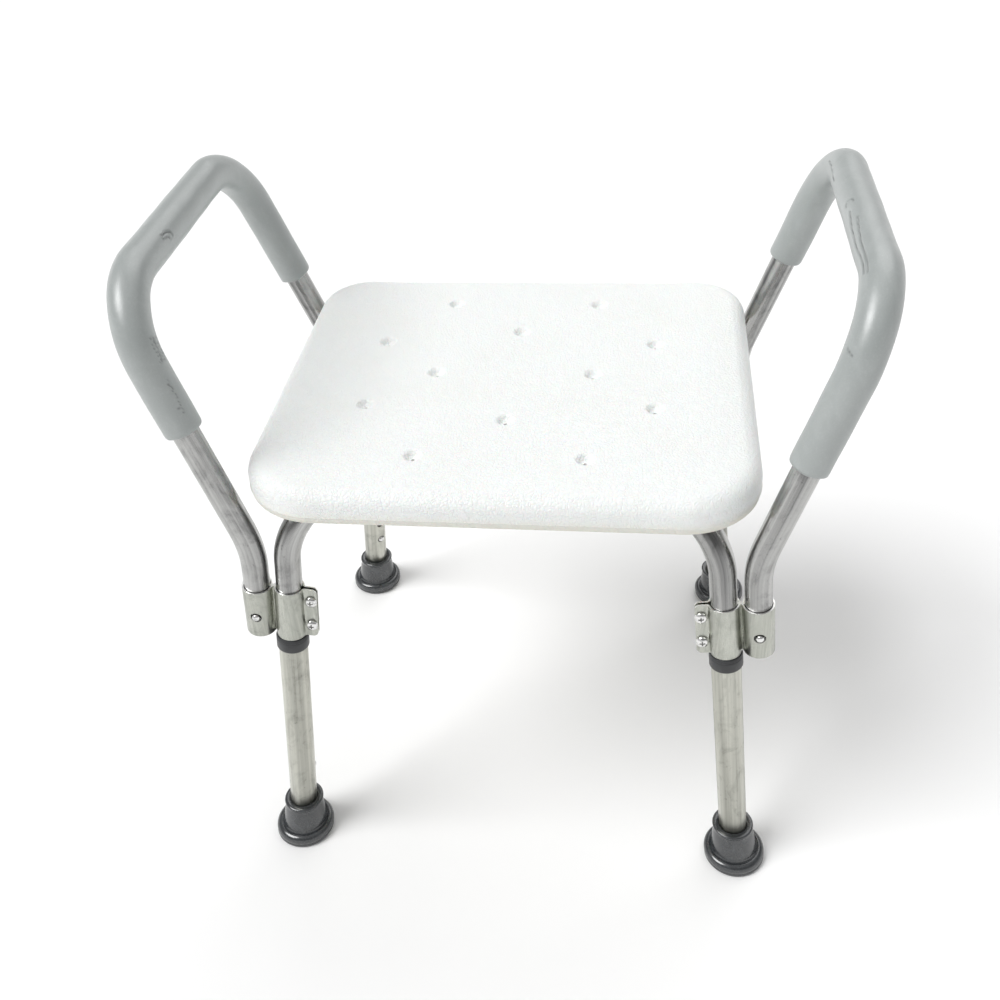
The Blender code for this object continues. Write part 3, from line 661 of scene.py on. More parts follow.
def satin_metal(name, bright, smudge_and_reflection, run=True, rough=0.20, reflection_band=0.55, streak=0.40, rim=None):
    """Satin drawn aluminium with smudges and small marks, and dark bands and fine lines along the tube
    that are partly painted dark reflection.
    A pale rim colour, painted as a highlight, goes where the piece's rim highlight mask is 1."""
    paint = Paint(name, metallic=1.0)
    reflection_bands = paint.cloud(paint.place((95, 95, 1.8), run), 1.0, 2.0, 0.45, 0.3)
    streaks = paint.cloud(paint.place((420, 420, 5), run), 1.0, 5.0, 0.6)
    fine = paint.cloud(paint.place((1700, 1700, 30), run), 1.0, 2.0, 0.5)
    smudges = paint.cloud(paint.place((55, 55, 34), run), 1.0, 5.0, 0.65, 1.0)
    marks = paint.cloud(paint.place((190, 190, 150), run), 1.0, 6.0, 0.72, 1.6)
    # Partly painted dark reflection: the bands and streaks along the tube stand for a darker room seen
    # in the metal; the smudges and marks are dirt.
    smudge_and_reflection_mask = (paint.ramp(reflection_bands, (0.42, 0.0), (0.64, 1.0)) * reflection_band
              + paint.ramp(streaks, (0.42, 0.0), (0.76, 1.0)) * streak
              + paint.ramp(smudges, (0.50, 0.0), (0.70, 1.0)) * 0.34
              + paint.ramp(marks, (0.60, 0.0), (0.68, 1.0)) * 0.34)
    colour_here = paint.blend(smudge_and_reflection_mask, bright, smudge_and_reflection)
    roughness = smudge_and_reflection_mask * 0.14 + fine * 0.08 + (rough - 0.04)
    # Painted highlight: the pale rim colour goes on faces that point up or down.
    if rim:
        edge = paint.node("ShaderNodeAttribute", {"attribute_name": "rim"}, output="Fac")
        colour_here = paint.blend(edge, colour_here, rim)
        roughness = roughness + edge * 0.10
    relief = paint.relief(fine * 0.8 + streaks * 0.6 + marks * 0.4, 0.14, 0.0002)
    return paint.wear(base_color=colour_here, roughness=roughness, normal=relief)


def plated_steel(colours):
    """Bright plated steel with fine handling marks."""
    paint = Paint("plated_steel", metallic=1.0)
    where = paint.place()
    marks = paint.cloud(where, 900.0, 4.0, 0.6, 0.6)
    spots = paint.ramp(paint.cloud(where, 320.0, 3.0), (0.50, 0.0), (0.66, 1.0))
    dark = tuple(channel * 0.45 for channel in colours.steel)
    return paint.wear(base_color=paint.blend(spots * 0.6, colours.steel, dark),
                      roughness=marks * 0.12 + 0.08, normal=paint.relief(marks, 0.10, 0.0001))


def foot_rubber(colours):
    """Dark glossy rubber, a little dusty, with faint mould flow lines."""
    paint = Paint("foot_rubber", specular_ior_level=1.0)
    where = paint.place()
    dust = paint.cloud(where, 85.0, 5.0, 0.65, 0.4)
    flow = paint.cloud(paint.place((110, 110, 700)), 1.0, 2.0)
    rubs = paint.cloud(paint.place((260, 260, 60)), 1.0, 4.0, 0.6, 0.5)
    scuffs = paint.ramp(rubs, (0.56, 0.0), (0.72, 1.0))
    pale = tuple(channel * 2.4 + 0.014 for channel in colours.rubber)
    worn = paint.ramp(dust, (0.46, 0.0), (0.85, 0.7)) + scuffs * 0.3
    return paint.wear(base_color=paint.blend(worn, colours.rubber, pale),
                      roughness=dust * 0.18 + 0.09, normal=paint.relief(flow * 0.5 + dust, 0.14, 0.0003))


def collar_plastic(colours):
    """Dark moulded plastic with a fine spark-eroded texture."""
    paint = Paint("collar_plastic")
    where = paint.place()
    texture = paint.cloud(where, 2200.0, 2.0)
    patches = paint.cloud(where, 140.0, 4.0)
    pale = tuple(channel * 2.0 for channel in colours.collar)
    faded = paint.ramp(patches, (0.40, 0.0), (0.80, 0.8))
    return paint.wear(base_color=paint.blend(faded, colours.collar, pale),
                      roughness=patches * 0.18 + 0.36, normal=paint.relief(texture, 0.18, 0.0002))


def grip_foam(colours):
    """Grey closed-cell foam with a satin skin, fine pores and paler rubbed patches, and shade painted
    into its dents.
    """
    paint = Paint("grip_foam", sheen_weight=0.08, sheen_roughness=0.4, specular_ior_level=1.0)
    where = paint.place(run=True)
    pores = paint.cells(where, 1300.0)
    pits = paint.ramp(paint.cells(where, 520.0), (0.0, 0.0), (0.16, 1.0))
    skin = paint.cloud(where, 95.0, 5.0, 0.6, 0.5)
    rubbed = paint.cloud(paint.place((50, 50, 34), run=True), 1.0, 5.0, 0.66, 0.8)
    specks = paint.cloud(where, 800.0, 3.0, 0.7)
    worn = (paint.ramp(rubbed, (0.46, 0.0), (0.76, 1.0)) * 0.45
            + paint.ramp(specks, (0.50, 0.0), (0.70, 1.0)) * 0.30)
    # Painted shade: the foam is darkened in its dents.
    dents = paint.node("ShaderNodeAttribute", {"attribute_name": "dent"}, output="Fac")
    painted_dent_shade = tuple(channel * 0.42 for channel in colours.foam)
    grey = paint.blend(worn, colours.foam, colours.foam_worn)
    return paint.wear(
        base_color=paint.blend(dents * 0.8, grey, painted_dent_shade),
        roughness=skin * 0.16 + 0.25,
        normal=paint.relief(pores * 0.25 + pits * 0.3 + skin + specks * 0.3, 0.26, 0.0006),
    )


def floor_paint(colours):
    """Plain pale floor, very slightly uneven."""
    paint = Paint("pale_floor", specular_ior_level=0.2)
    where = paint.place()
    clouds = paint.cloud(where, 1.3, 2.0)
    shade = tuple(channel * 0.985 for channel in colours.floor)
    return paint.wear(base_color=paint.blend(clouds, colours.floor, shade), roughness=clouds * 0.1 + 0.7)


FINISHES = {}


def finish(name):
    """One of the stool's materials, made when it is first asked for."""
    if name not in FINISHES:
        colours = bpy.context.scene.bath_seat_finish
        makers = {
            "seat": lambda: seat_plastic(colours),
            "tube": lambda: satin_metal("tube_aluminium", colours.tube, colours.tube_smudge_and_reflection, reflection_band=0.65),
            "leg": lambda: satin_metal("leg_aluminium", colours.leg, colours.leg_smudge_and_reflection, rough=0.28,
                                       reflection_band=0.40),
            "clamp": lambda: satin_metal("clamp_aluminium", colours.clamp, colours.clamp_scratch_and_reflection, run=False,
                                         rough=0.26, reflection_band=0.25, rim=colours.clamp_rim_highlight),
            "steel": lambda: plated_steel(colours),
            "rubber": lambda: foot_rubber(colours),
            "collar": lambda: collar_plastic(colours),
            "foam": lambda: grip_foam(colours),
            "floor": lambda: floor_paint(colours),
        }
        FINISHES[name] = makers[name]()
    return FINISHES[name]


# ---------------------------------------------------------------- seat
def seat_lift(x, y, shape):
    """How far the seat's top stands above or below its flat outline."""
    width, depth = SEAT_HIGH.x, SEAT_HIGH.y
    side = ease(abs(x), width - shape.side_margin - shape.side_blend, width - shape.side_margin * 0.55)
    front = ease(-y, depth - shape.front_margin, depth + shape.front_margin * 0.35)
    rear = ease(y, depth - shape.front_margin * 0.6, depth)
    lift = shape.side_rise * (side - 0.45)
    lift -= shape.front_drop * front * (1 - ease(abs(x), width * 0.55, width * 0.92))
    lift -= shape.front_drop * 0.3 * rear
    for drain_x, drain_y in drain_places():
        far = hypot(x - drain_x, y - drain_y)
        if far < shape.drain_mouth:
            lift -= shape.drain_depth * (1 - ease(far, shape.drain_bore, shape.drain_mouth))
    return lift


class BATHSEAT_OT_seat(Operator):
    """Moulded seat with raised margins, a rolled edge and twelve drains"""
    bl_idname = "bath_seat.add_seat"
    bl_label = "Seat"

    def execute(self, context):
        shape = context.scene.bath_seat_shell
        size = SEAT_HIGH - SEAT_LOW
        start()
        bpy.ops.mesh.primitive_cube_add(size=1, location=(SEAT_LOW + SEAT_HIGH) / 2, scale=size)
        seat = named("moulded_seat")
        for corner, end in ((shape.corner_front, -1), (shape.corner_rear, 1)):
            bpy.ops.mesh.select_mode(type="EDGE")
            bpy.ops.mesh.select_all(action="DESELECT")
            mesh = bmesh.from_edit_mesh(seat.data)
            for edge in mesh.edges:
                first, second = (v.co for v in edge.verts)
                if abs(first.z - second.z) > size.z / 2 and first.y * end > size.y / 2 - 0.001:
                    edge.select_set(True)
            bmesh.update_edit_mesh(seat.data)
            bpy.ops.mesh.bevel(offset=corner, segments=16, affect="EDGES")
        rims = ((SEAT_HIGH.z, shape.top_round, 9), (SEAT_LOW.z, shape.bottom_round, 4))
        for level, width, segments in rims:
            select(lambda co, level=level: abs(co.z - level) < NEAR, "EDGE")
            bpy.ops.mesh.bevel(offset=width, segments=segments, affect="EDGES")
        self.slice(shape, size)
        start()
        places = [((x, y, SEAT_LOW.z + size.z / 2), (0, 0, 1)) for x, y in drain_places()]
        drill(seat, places, shape.drain_bore, size.z * 2, 24)
        frames = context.scene.bath_seat_frame
        screws = [screw_place(corner, SEAT_LOW.z, frames) for corner in CORNERS]
        drill(seat, [(place, (0, 0, 1)) for place in screws], frames.screw_hole, 0.024, 24)
        drill(seat, [((0, -0.035, SEAT_LOW.z), (0, 0, 1))], shape.vent_radius, 0.010, 24)
        self.press(seat, shape)
        finished(seat, "frame", "seat_plastic", finish("seat"), "seat", angle=42)
        return {"FINISHED"}

    def slice(self, shape, size):
        """Cuts the block into small cells, finer round the drains."""
        for axis in (0, 1):
            cells = round(size[axis] / shape.cell)
            for i in range(1, cells):
                point, normal = Vector(), Vector()
                point[axis] = SEAT_LOW[axis] + size[axis] * i / cells
                normal[axis] = 1
                bpy.ops.mesh.select_all(action="SELECT")
                bpy.ops.mesh.bisect(plane_co=point, plane_no=normal, threshold=0.00002)
        seam = SEAT_LOW.z + shape.seam_height
        for height in (seam - 0.0007, seam, seam + 0.0007):
            bpy.ops.mesh.select_all(action="SELECT")
            bpy.ops.mesh.bisect(plane_co=(0, 0, height), plane_no=(0, 0, 1), threshold=0.00002)

        def by_drain(co):
            near = min(hypot(co.x - x, co.y - y) for x, y in drain_places())
            return co.z > SEAT_HIGH.z - 0.001 and near < shape.drain_mouth + shape.cell

        select(by_drain, "FACE")
        bpy.ops.mesh.subdivide(number_cuts=3, ngon=False)

    def press(self, seat, shape):
        """Gives the top its raised margins and dimples, and the side its parting line."""
        seam = SEAT_LOW.z + shape.seam_height
        for vertex in seat.data.vertices:
            co = vertex.co
            if co.z > SEAT_HIGH.z - shape.top_round:
                share = ease(co.z, SEAT_HIGH.z - shape.top_round, SEAT_HIGH.z)
                co.z += share * seat_lift(co.x, co.y, shape)
            elif abs(co.z - seam) < 0.0001:
                out = Vector((vertex.normal.x, vertex.normal.y, 0)).normalized()
                vertex.co = co + out * shape.seam_ridge


# ---------------------------------------------------------------- frame
class BATHSEAT_OT_cross_tubes(Operator):
    """Two bent tubes that cross under the seat, each pressed flat where they meet"""
    bl_idname = "bath_seat.add_cross_tubes"
    bl_label = "Cross tubes"

    def execute(self, context):
        shape = context.scene.bath_seat_frame
        legs = context.scene.bath_seat_legs
        level = level_height(shape)
        runs = (("a", "front_right", "rear_left", 1), ("b", "front_left", "rear_right", -1))
        for name, near, far, lift in runs:
            corners = [on_leg(near, shape.tube_end), on_leg(near, level),
                       on_leg(far, level), on_leg(far, shape.tube_end)]
            radii = [shape.bend, shape.bend]
            tube = bent_tube(f"cross_tube_{name}", corners, radii, shape.tube, 48, [1, 72, 1])
            modifier(tube, "SOLIDIFY", thickness=shape.wall, offset=-1, use_even_offset=True)
            self.flatten(tube, inward(near), level, lift * (shape.flat_half + GAP), shape)
            holes = [(screw_place(corner, level, shape), (0, 0, 1)) for corner in (near, far)]
            drill(tube, holes, shape.screw_hole, 0.04, 24)
            drill(tube, [((0, 0, level), (0, 0, 1))], shape.rivet + GAP, 0.04, 24)
            for corner in (near, far):
                place = leg_frame(corner, legs.button_height)
                skin = place @ Vector((shape.tube, 0, 0))
                drill(tube, [(skin, place.col[0].xyz)], legs.button + 0.0004, 0.014)
            straightened(tube, path_of(corners, radii), 0.7 * lift)
            finished(tube, "frame", "aluminium", finish("tube"), f"frame_tube_{name}")
        return {"FINISHED"}

    def flatten(self, tube, line, level, lift, shape):
        side = line.cross(Vector((0, 0, 1)))
        for vertex in tube.data.vertices:
            along = abs(vertex.co.dot(line))
            if along < shape.flat_reach and vertex.co.z > level - 2 * shape.tube:
                share = ease(shape.flat_reach - along, 0, shape.flat_blend)
                squash = 1 + share * (shape.flat_half / shape.tube - 1)
                vertex.co.z = level + (vertex.co.z - level) * squash + lift * share
                vertex.co += side * vertex.co.dot(side) * share * 0.30


class BATHSEAT_OT_fixings(Operator):
    """Rivet through the crossing, and the screws that hold the seat"""
    bl_idname = "bath_seat.add_fixings"
    bl_label = "Rivet and seat screws"

    def execute(self, context):
        shape = context.scene.bath_seat_frame
        level = level_height(shape)
        top = 2 * shape.flat_half + 2 * GAP
        head = dome(shape.pan_head, 0.0022, range(0, 91, 15))
        profile = [(x, top + z) for x, z in reversed(head)] + [(shape.rivet, top), (shape.rivet, -top)]
        profile += [(x, -top - z) for x, z in head]
        profile[0], profile[-1] = (0, profile[0][1]), (0, profile[-1][1])
        rivet = lathe("cross_rivet", profile)
        rivet.data.transform(Matrix.Translation((0, 0, level)))
        finished(rivet, "frame", "steel", finish("steel"), "centre_rivet")

        screw = self.seat_screw(shape)
        for corner in CORNERS:
            place = Matrix.Translation(screw_place(corner, level - shape.tube - GAP, shape))
            copy = moved_copy(screw, f"seat_fixing_{corner}", place)
            finished(copy, "frame", "steel", finish("steel"), f"seat_screw_{corner}")
        remove(screw)
        return {"FINISHED"}

    def seat_screw(self, shape):
        """A pan-head screw, head down, with a cross recess."""
        tip, head = shape.tube * 2 + 0.012, shape.pan_head
        profile = [(0, tip), (0.0018, tip), (0.0029, tip - 0.0025), (0.0029, 0), (head, 0),
                   (head, -0.0012)]
        profile += dome(head, -0.0026, range(20, 81, 20), -0.0012)
        profile.append((0, -0.0038))
        screw = lathe("seat_fixing", profile, 36)
        cut(screw, cross_bit(-0.0038, 0.0022, 0.0062))
        return screw


def cross_bit(height, depth, width):
    """A cross-shaped driver bit centred on Z that reaches depth above or below a height."""
    start()
    bpy.ops.mesh.primitive_cube_add(size=1, location=(0, 0, height), scale=(width, 0.0017, depth * 2))
    bit = named("cross_bit")
    start()
    second = moved_copy(bit, "cross_bit_arm", Matrix.Rotation(pi / 2, 4, "Z"))
    modifier(bit, "BOOLEAN", object=second, operation="UNION", solver="EXACT")
    remove(second)
    bpy.ops.object.mode_set(mode="EDIT")
    select(lambda co: abs(co.z - height) > depth * 0.9, "VERT")
    bpy.ops.transform.resize(value=(0.62, 0.62, 1), center_override=(0, 0, height))
    start()
    return bit


# ---------------------------------------------------------------- clamps
def clamp_frames(shape):
    """Matrices of the front right clamp's middle: along its loops, and along the leg itself."""
    middle = on_leg("front_right", clamp_middle(shape))
    ups = (SLIDES["arm_lift_right"], upright("front_right"))
    return [frame_at(middle, up, Vector((1, 0, 0))) for up in ups]


def clamp_socket(shape, arms):
    """The arm socket's axis in the front right clamp's frame."""
    return clamp_frames(shape)[0].inverted() @ socket_point(1, -1, clamp_middle(shape), arms, shape)


def folded_path(shape, socket):
    """The middle line of one strip, folded from ear to ear round the leg and round the arm."""
    loop = shape.tube + shape.play + shape.strip / 2
    fold = shape.fold + shape.strip / 2
    reach = hypot(*socket)
    turn = atan2(socket[1], socket[0])

    def fillet(offset):
        """Centre of a fold that joins the loop to a run lying offset from the middle line."""
        y = offset + fold
        return sqrt((loop + fold) ** 2 - y * y), y

    ear = shape.ear_gap + shape.strip / 2
    ear_x, ear_y = fillet(ear)
    ear_turn = asin(ear_y / (loop + fold))
    neck_x, neck_y = fillet(shape.strip / 2 + 0.00004)
    neck_turn = asin(neck_y / (loop + fold))
    ear_end = -loop - shape.strip / 2 - shape.ear_length

    half = arc((-ear_x, -ear_y), fold, pi / 2, ear_turn, 5)
    half += arc((0, 0), loop, pi + ear_turn, 2 * pi - neck_turn + turn, 26)[1:]
    neck = arc((neck_x, -neck_y), fold, pi - neck_turn, pi / 2, 5)
    neck += arc((reach - neck_x, -neck_y), fold, pi / 2, neck_turn, 5)
    spin = Matrix.Rotation(turn, 2)
    half += [tuple(spin @ Vector(point)) for point in neck[1:]]
    rim = arc(socket, loop, turn - pi + neck_turn, turn + pi - neck_turn, 52)[1:-1]
    back = [tuple(spin @ Vector((x, -y))) for x, y in reversed(neck)]
    back += arc((0, 0), loop, neck_turn + turn, pi - ear_turn, 26)[1:]
    back += arc((-ear_x, ear_y), fold, -ear_turn, -pi / 2, 5)[1:]
    return [(ear_end, -ear)] + half + rim + back + [(ear_end, ear)]


class BATHSEAT_OT_clamps(Operator):
    """Folded strip clamps that hold the arms' sockets to the legs"""
    bl_idname = "bath_seat.add_clamps"
    bl_label = "Clamps"

    def execute(self, context):
        shape, arms = context.scene.bath_seat_frame, context.scene.bath_seat_arms
        socket = clamp_socket(shape, arms)
        height = shape.clamp_height * 1.0047
        points = folded_path(shape, socket.xy)
        clamp = strip("clamp", points, height)
        bpy.ops.object.select_all(action="DESELECT")
        clamp.select_set(True)
        bpy.context.view_layer.objects.active = clamp
        bpy.ops.object.mode_set(mode="EDIT")
        ear_end = points[0][0]
        select(lambda co: co.x < ear_end + 0.0001, "VERT")
        bpy.ops.mesh.bevel(offset=shape.ear_round, segments=6, affect="VERTICES")
        start()
        modifier(clamp, "SOLIDIFY", thickness=shape.strip, offset=0, use_even_offset=True)

        along_loop, along_leg = clamp_frames(shape)
        twist = along_loop.inverted() @ along_leg
        fade_from, fade_to = shape.tube + shape.strip, socket.x - shape.tube - shape.strip
        for vertex in clamp.data.vertices:
            share = 1 - min(1.0, max(0.0, (vertex.co.x - fade_from) / (fade_to - fade_from)))
            vertex.co = vertex.co.lerp(twist @ vertex.co, share)
        across = twist.col[1].xyz
        ears = [twist @ Vector((-shape.screw_out, 0, end * shape.screw_spacing / 2)) for end in (1, -1)]
        drill(clamp, [(place, across) for place in ears], shape.ear_hole, 0.03, 24)
        drill(clamp, [(socket - Vector((0, shape.tube, 0)), (0, 1, 0))], shape.lock_hole, 0.012, 40)
        round_edges(clamp, 0.00066, 4, 50)
        # Painted highlight: faces that point up or down, round the clamp's top and bottom rims, are
        # marked for the pale rim colour.
        rim = clamp.data.attributes.new("rim", "FLOAT", "POINT")
        for vertex, stored in zip(clamp.data.vertices, rim.data):
            stored.value = ease(abs(vertex.normal.z), 0.20, 0.65)
        for corner in CORNERS:
            copy = moved_copy(clamp, f"clamp_{corner}", mirror_to(corner) @ along_loop)
            finished(copy, "frame", "aluminium", finish("clamp"), f"bracket_{corner}")
        remove(clamp)
        return {"FINISHED"}


class BATHSEAT_OT_clamp_screws(Operator):
    """Cross-head screws and hexagon nuts through the clamps' ears"""
    bl_idname = "bath_seat.add_clamp_screws"
    bl_label = "Clamp screws"

    def execute(self, context):
        shape = context.scene.bath_seat_frame
        base = shape.ear_gap + shape.strip
        head = shape.clamp_head
        profile = [(0, base + 0.0036)] + dome(head, 0.0027, range(75, -1, -15), base + 0.0009)
        profile += [(head, base), (0.0024, base), (0.0024, -base - 0.0056)]
        profile += [(0.0019, -base - 0.0062), (0, -base - 0.0062)]
        screw = lathe("clamp_screw", profile, 40)
        cut(screw, cross_bit(base + 0.0036, 0.0030, 0.0074))
        round_edges(screw, 0.00012, 1, 60)
        nut = self.nut(base)
        along_leg = clamp_frames(shape)[1]
        for level, end in (("upper", 1), ("lower", -1)):
            place = Matrix.Translation((-shape.screw_out, 0, end * shape.screw_spacing / 2))
            place = along_leg @ place @ Matrix.Rotation(pi / 2, 4, "X")
            for corner in CORNERS:
                for piece, kind, node in ((screw, "bolt", "screw"), (nut, "nut", "nut")):
                    copy = moved_copy(piece, f"clamp_{kind}_{corner}_{level}", mirror_to(corner) @ place)
                    finished(copy, "frame", "steel", finish("steel"), f"{node}_{corner}_{level}")
        remove(screw)
        remove(nut)
        return {"FINISHED"}

    def nut(self, base):
        """A hexagon nut with chamfered corners and a washer face."""
        start()
        bpy.ops.mesh.primitive_cylinder_add(vertices=6, radius=0.0048, depth=0.0040,
                                            location=(0, 0, -base - 0.0020))
        nut = named("clamp_nut")
        start()
        bpy.ops.mesh.primitive_cone_add(vertices=48, radius1=0.0040, radius2=0.0088, depth=0.0060,
                                        location=(0, 0, -base - 0.0042 + 0.0030))
        cone = bpy.context.object
        modifier(nut, "BOOLEAN", object=cone, operation="INTERSECT", solver="EXACT")
        remove(cone)
        drill(nut, [((0, 0, -base), (0, 0, 1))], 0.0026, 0.02, 32)
        round_edges(nut, 0.00015, 1, 40)
        return nut


# ---------------------------------------------------------------- legs
class BATHSEAT_OT_legs(Operator):
    """Lower legs with their row of height holes"""
    bl_idname = "bath_seat.add_legs"
    bl_label = "Lower legs"

    def execute(self, context):
        shape, frames = context.scene.bath_seat_legs, context.scene.bath_seat_frame
        top = collar_top(frames) - shape.collar_lip
        rise = 1 / upright("front_right").z
        ends = [Vector((0, 0, height * rise)) for height in (top, shape.tube_end)]
        leg = bent_tube("leg", ends, [], shape.tube, 60)
        modifier(leg, "SOLIDIFY", thickness=shape.wall, offset=-1, use_even_offset=True)
        lowest = Vector((shape.tube, 0, shape.button_height * rise))
        holes = [(lowest + Vector((0, 0, i * shape.pitch)), (1, 0, 0)) for i in range(shape.holes)]
        drill(leg, holes, frames.lock_hole - 0.0005, 0.010)
        round_edges(leg, 0.0002, 2, 50)
        for number, corner in enumerate(CORNERS):
            copy = moved_copy(leg, f"leg_{corner}", leg_frame(corner, 0))
            straightened(copy, [on_leg(corner, top), on_leg(corner, shape.tube_end)], 0.41 * number)
            finished(copy, f"leg_{corner}", "leg_aluminium", finish("leg"), f"lower_leg_{corner}")
        remove(leg)
        return {"FINISHED"}


class BATHSEAT_OT_collars(Operator):
    """Plastic caps over the tops of the lower legs"""
    bl_idname = "bath_seat.add_collars"
    bl_label = "Collars"

    def execute(self, context):
        shape, frames = context.scene.bath_seat_legs, context.scene.bath_seat_frame
        lip, skirt, low = frames.tube + 0.0004, shape.tube + 0.0002, -shape.collar_height
        radius = shape.collar
        profile = [(lip, 0.0), (radius - 0.0014, 0.0), (radius - 0.0005, -0.0004), (radius, -0.0014),
                   (radius, -0.0030), (radius - 0.0003, -0.0034), (radius, -0.0038),
                   (radius, low + 0.0012), (radius - 0.0005, low + 0.0003), (skirt + 0.0003, low),
                   (skirt, low + 0.0003), (skirt, GAP - shape.collar_lip), (lip, GAP - shape.collar_lip),
                   (lip, 0.0)]
        collar = lathe("collar", profile, 56)
        for corner in CORNERS:
            copy = moved_copy(collar, f"leg_collar_{corner}", leg_frame(corner, collar_top(frames)))
            finished(copy, f"leg_{corner}", "collar_plastic", finish("collar"), f"collar_{corner}")
        remove(collar)
        return {"FINISHED"}


class BATHSEAT_OT_feet(Operator):
    """Rubber feet: a beaded sleeve that flares to a thick rounded flange"""
    bl_idname = "bath_seat.add_feet"
    bl_label = "Feet"

    def execute(self, context):
        shape = context.scene.bath_seat_legs
        flange, sleeve, height = shape.foot_flange, shape.foot_sleeve, shape.foot_height
        bore = shape.tube + 0.0002
        profile = [(0, shape.foot_floor), (bore, shape.foot_floor), (bore, height - 0.0006),
                   (bore + 0.0006, height)]
        profile += arc((sleeve - 0.0015, height - 0.0017), 0.0017, pi / 2, -pi / 3, 8)
        profile += [(sleeve - 0.0009, height - 0.0046), (sleeve - 0.0003, 0.0350), (0.0197, 0.0250),
                    (0.0207, 0.0172), (0.0210, 0.0140), (0.0214, 0.0125), (0.0221, 0.0118),
                    (0.0230, 0.0120)]
        profile += arc((flange - 0.0054, 0.0070), 0.0053, radians(84), 0, 9)
        profile += [(flange - 0.0002, 0.0045), (flange - 0.0007, 0.0038)]
        profile += arc((flange - 0.0023, 0.0024), 0.0021, radians(20), radians(-70), 5)
        profile += [(flange - 0.0024, 0.0), (flange - 0.0060, 0.0), (flange - 0.0068, 0.0010),
                    (flange - 0.0100, 0.0010), (flange - 0.0108, 0.0), (0.0, 0.0)]
        foot = lathe("foot", profile, 64)
        for corner in CORNERS:
            up = upright(corner)
            lean = Matrix.Translation(MOUNTS[f"foot_base_{corner}"])
            lean[0][2], lean[1][2] = up.x / up.z, up.y / up.z
            copy = moved_copy(foot, f"leg_tip_{corner}", lean)
            finished(copy, f"leg_{corner}", "rubber", finish("rubber"), f"foot_{corner}", angle=50)
        remove(foot)
        return {"FINISHED"}


# ---------------------------------------------------------------- snap buttons
class BATHSEAT_OT_snap_buttons(Operator):
    """Domed snap buttons on their leaf springs, in the legs and in the arms"""
    bl_idname = "bath_seat.add_snap_buttons"
    bl_label = "Snap buttons"

    def execute(self, context):
        frames, arms = context.scene.bath_seat_frame, context.scene.bath_seat_arms
        legs = context.scene.bath_seat_legs
        leg_snap = self.button("leg_snap", frames, legs, 0.0036, 0.030)
        arm_snap = self.button("arm_snap", frames, legs, 0.0040, 0.0185)
        for corner, (sx, sy) in CORNERS.items():
            copy = moved_copy(leg_snap, f"leg_snap_{corner}", leg_frame(corner, legs.button_height))
            finished(copy, f"leg_snap_{corner}", "steel", finish("steel"), f"leg_button_{corner}")
            side = "right" if sx > 0 else "left"
            middle = socket_point(sx, sy, clamp_middle(frames), arms, frames)
            place = frame_at(middle, SLIDES[f"arm_lift_{side}"], Vector((0, sy, 0)))
            copy = moved_copy(arm_snap, f"arm_snap_{corner}", place)
            finished(copy, f"arm_snap_{corner}", "steel", finish("steel"), f"arm_button_{corner}")
        remove(leg_snap)
        remove(arm_snap)
        return {"FINISHED"}

    def button(self, name, frames, legs, proud, reach):
        """A dome that points along +X from a folded leaf spring inside the tube."""
        inner, outer = frames.tube - frames.wall, frames.tube
        head, radius = outer + proud, legs.button
        crown = 0.0022
        profile = [(0, head)] + dome(radius, crown, range(75, -1, -15), head - crown)
        profile += [(radius, inner - 0.0013), (0, inner - 0.0013)]
        snap = lathe(name, profile, 36)
        snap.data.transform(Matrix.Rotation(pi / 2, 4, "Y"))
        near, far = inner - 0.0015, -inner + 0.0052
        leaf = [(near, 0.006), (near, -reach * 0.5), (near * 0.5, -reach * 0.82)]
        leaf += arc((0.0002, -reach * 0.94), 0.0016, radians(10), radians(-170), 6)
        leaf += [(far * 0.5, -reach * 0.75), (far, -reach * 0.4)]
        spring = strip(name + "_leaf", leaf, 0.0066)
        modifier(spring, "SOLIDIFY", thickness=0.0005, offset=0, use_even_offset=True)
        spring.data.transform(Matrix.Rotation(pi / 2, 4, "X"))
        start()
        spring.select_set(True)
        snap.select_set(True)
        bpy.context.view_layer.objects.active = snap
        bpy.ops.object.join()
        return snap


# ---------------------------------------------------------------- arms
def arm_corners(side, arms, frames):
    """Axis of an arm from its front end to its rear end, before its bends."""
    ends = []
    for end in (-1, 1):
        low = socket_point(side, end, arms.end, arms, frames)
        knee = socket_point(side, end, arms.knee, arms, frames)
        ends.append([low, knee, Vector((side * arms.top_x, end * arms.top_y, arms.top_z))])
    return ends[0] + ends[1][::-1]


class BATHSEAT_OT_arms(Operator):
    """Bent arm tubes that stand in the clamps' sockets"""
    bl_idname = "bath_seat.add_arms"
    bl_label = "Arm tubes"

    def execute(self, context):
        frames, arms = context.scene.bath_seat_frame, context.scene.bath_seat_arms
        legs = context.scene.bath_seat_legs
        radii = [arms.knee_bend, arms.top_bend, arms.top_bend, arms.knee_bend]
        for side, sx in SIDES.items():
            corners = arm_corners(sx, arms, frames)
            arm = bent_tube(f"arm_{side}", corners, radii, frames.tube, 48)
            modifier(arm, "SOLIDIFY", thickness=frames.wall, offset=-1, use_even_offset=True)
            for end in (-1, 1):
                middle = socket_point(sx, end, clamp_middle(frames), arms, frames)
                spot = middle + Vector((0, end * frames.tube, 0))
                drill(arm, [(spot, (0, 1, 0))], legs.button + 0.0012, 0.014)
            round_edges(arm, 0.0002, 2, 50)
            straightened(arm, path_of(corners, radii), 1.3 * sx)
            finished(arm, f"arm_{side}", "aluminium", finish("tube"), f"arm_tube_{side}")
        return {"FINISHED"}


GRIP_SKIN = 0.0156  # radius on which the dents' curls are laid out


def curl(turn, along, radius, first, last, steps=8):
    """A small arc on a grip's skin, as (turn, along) places. Its radius is in metres."""
    points = arc((0, 0), radius, radians(first), radians(last), steps)
    return [(turn + x / GRIP_SKIN, along + y) for x, y in points]


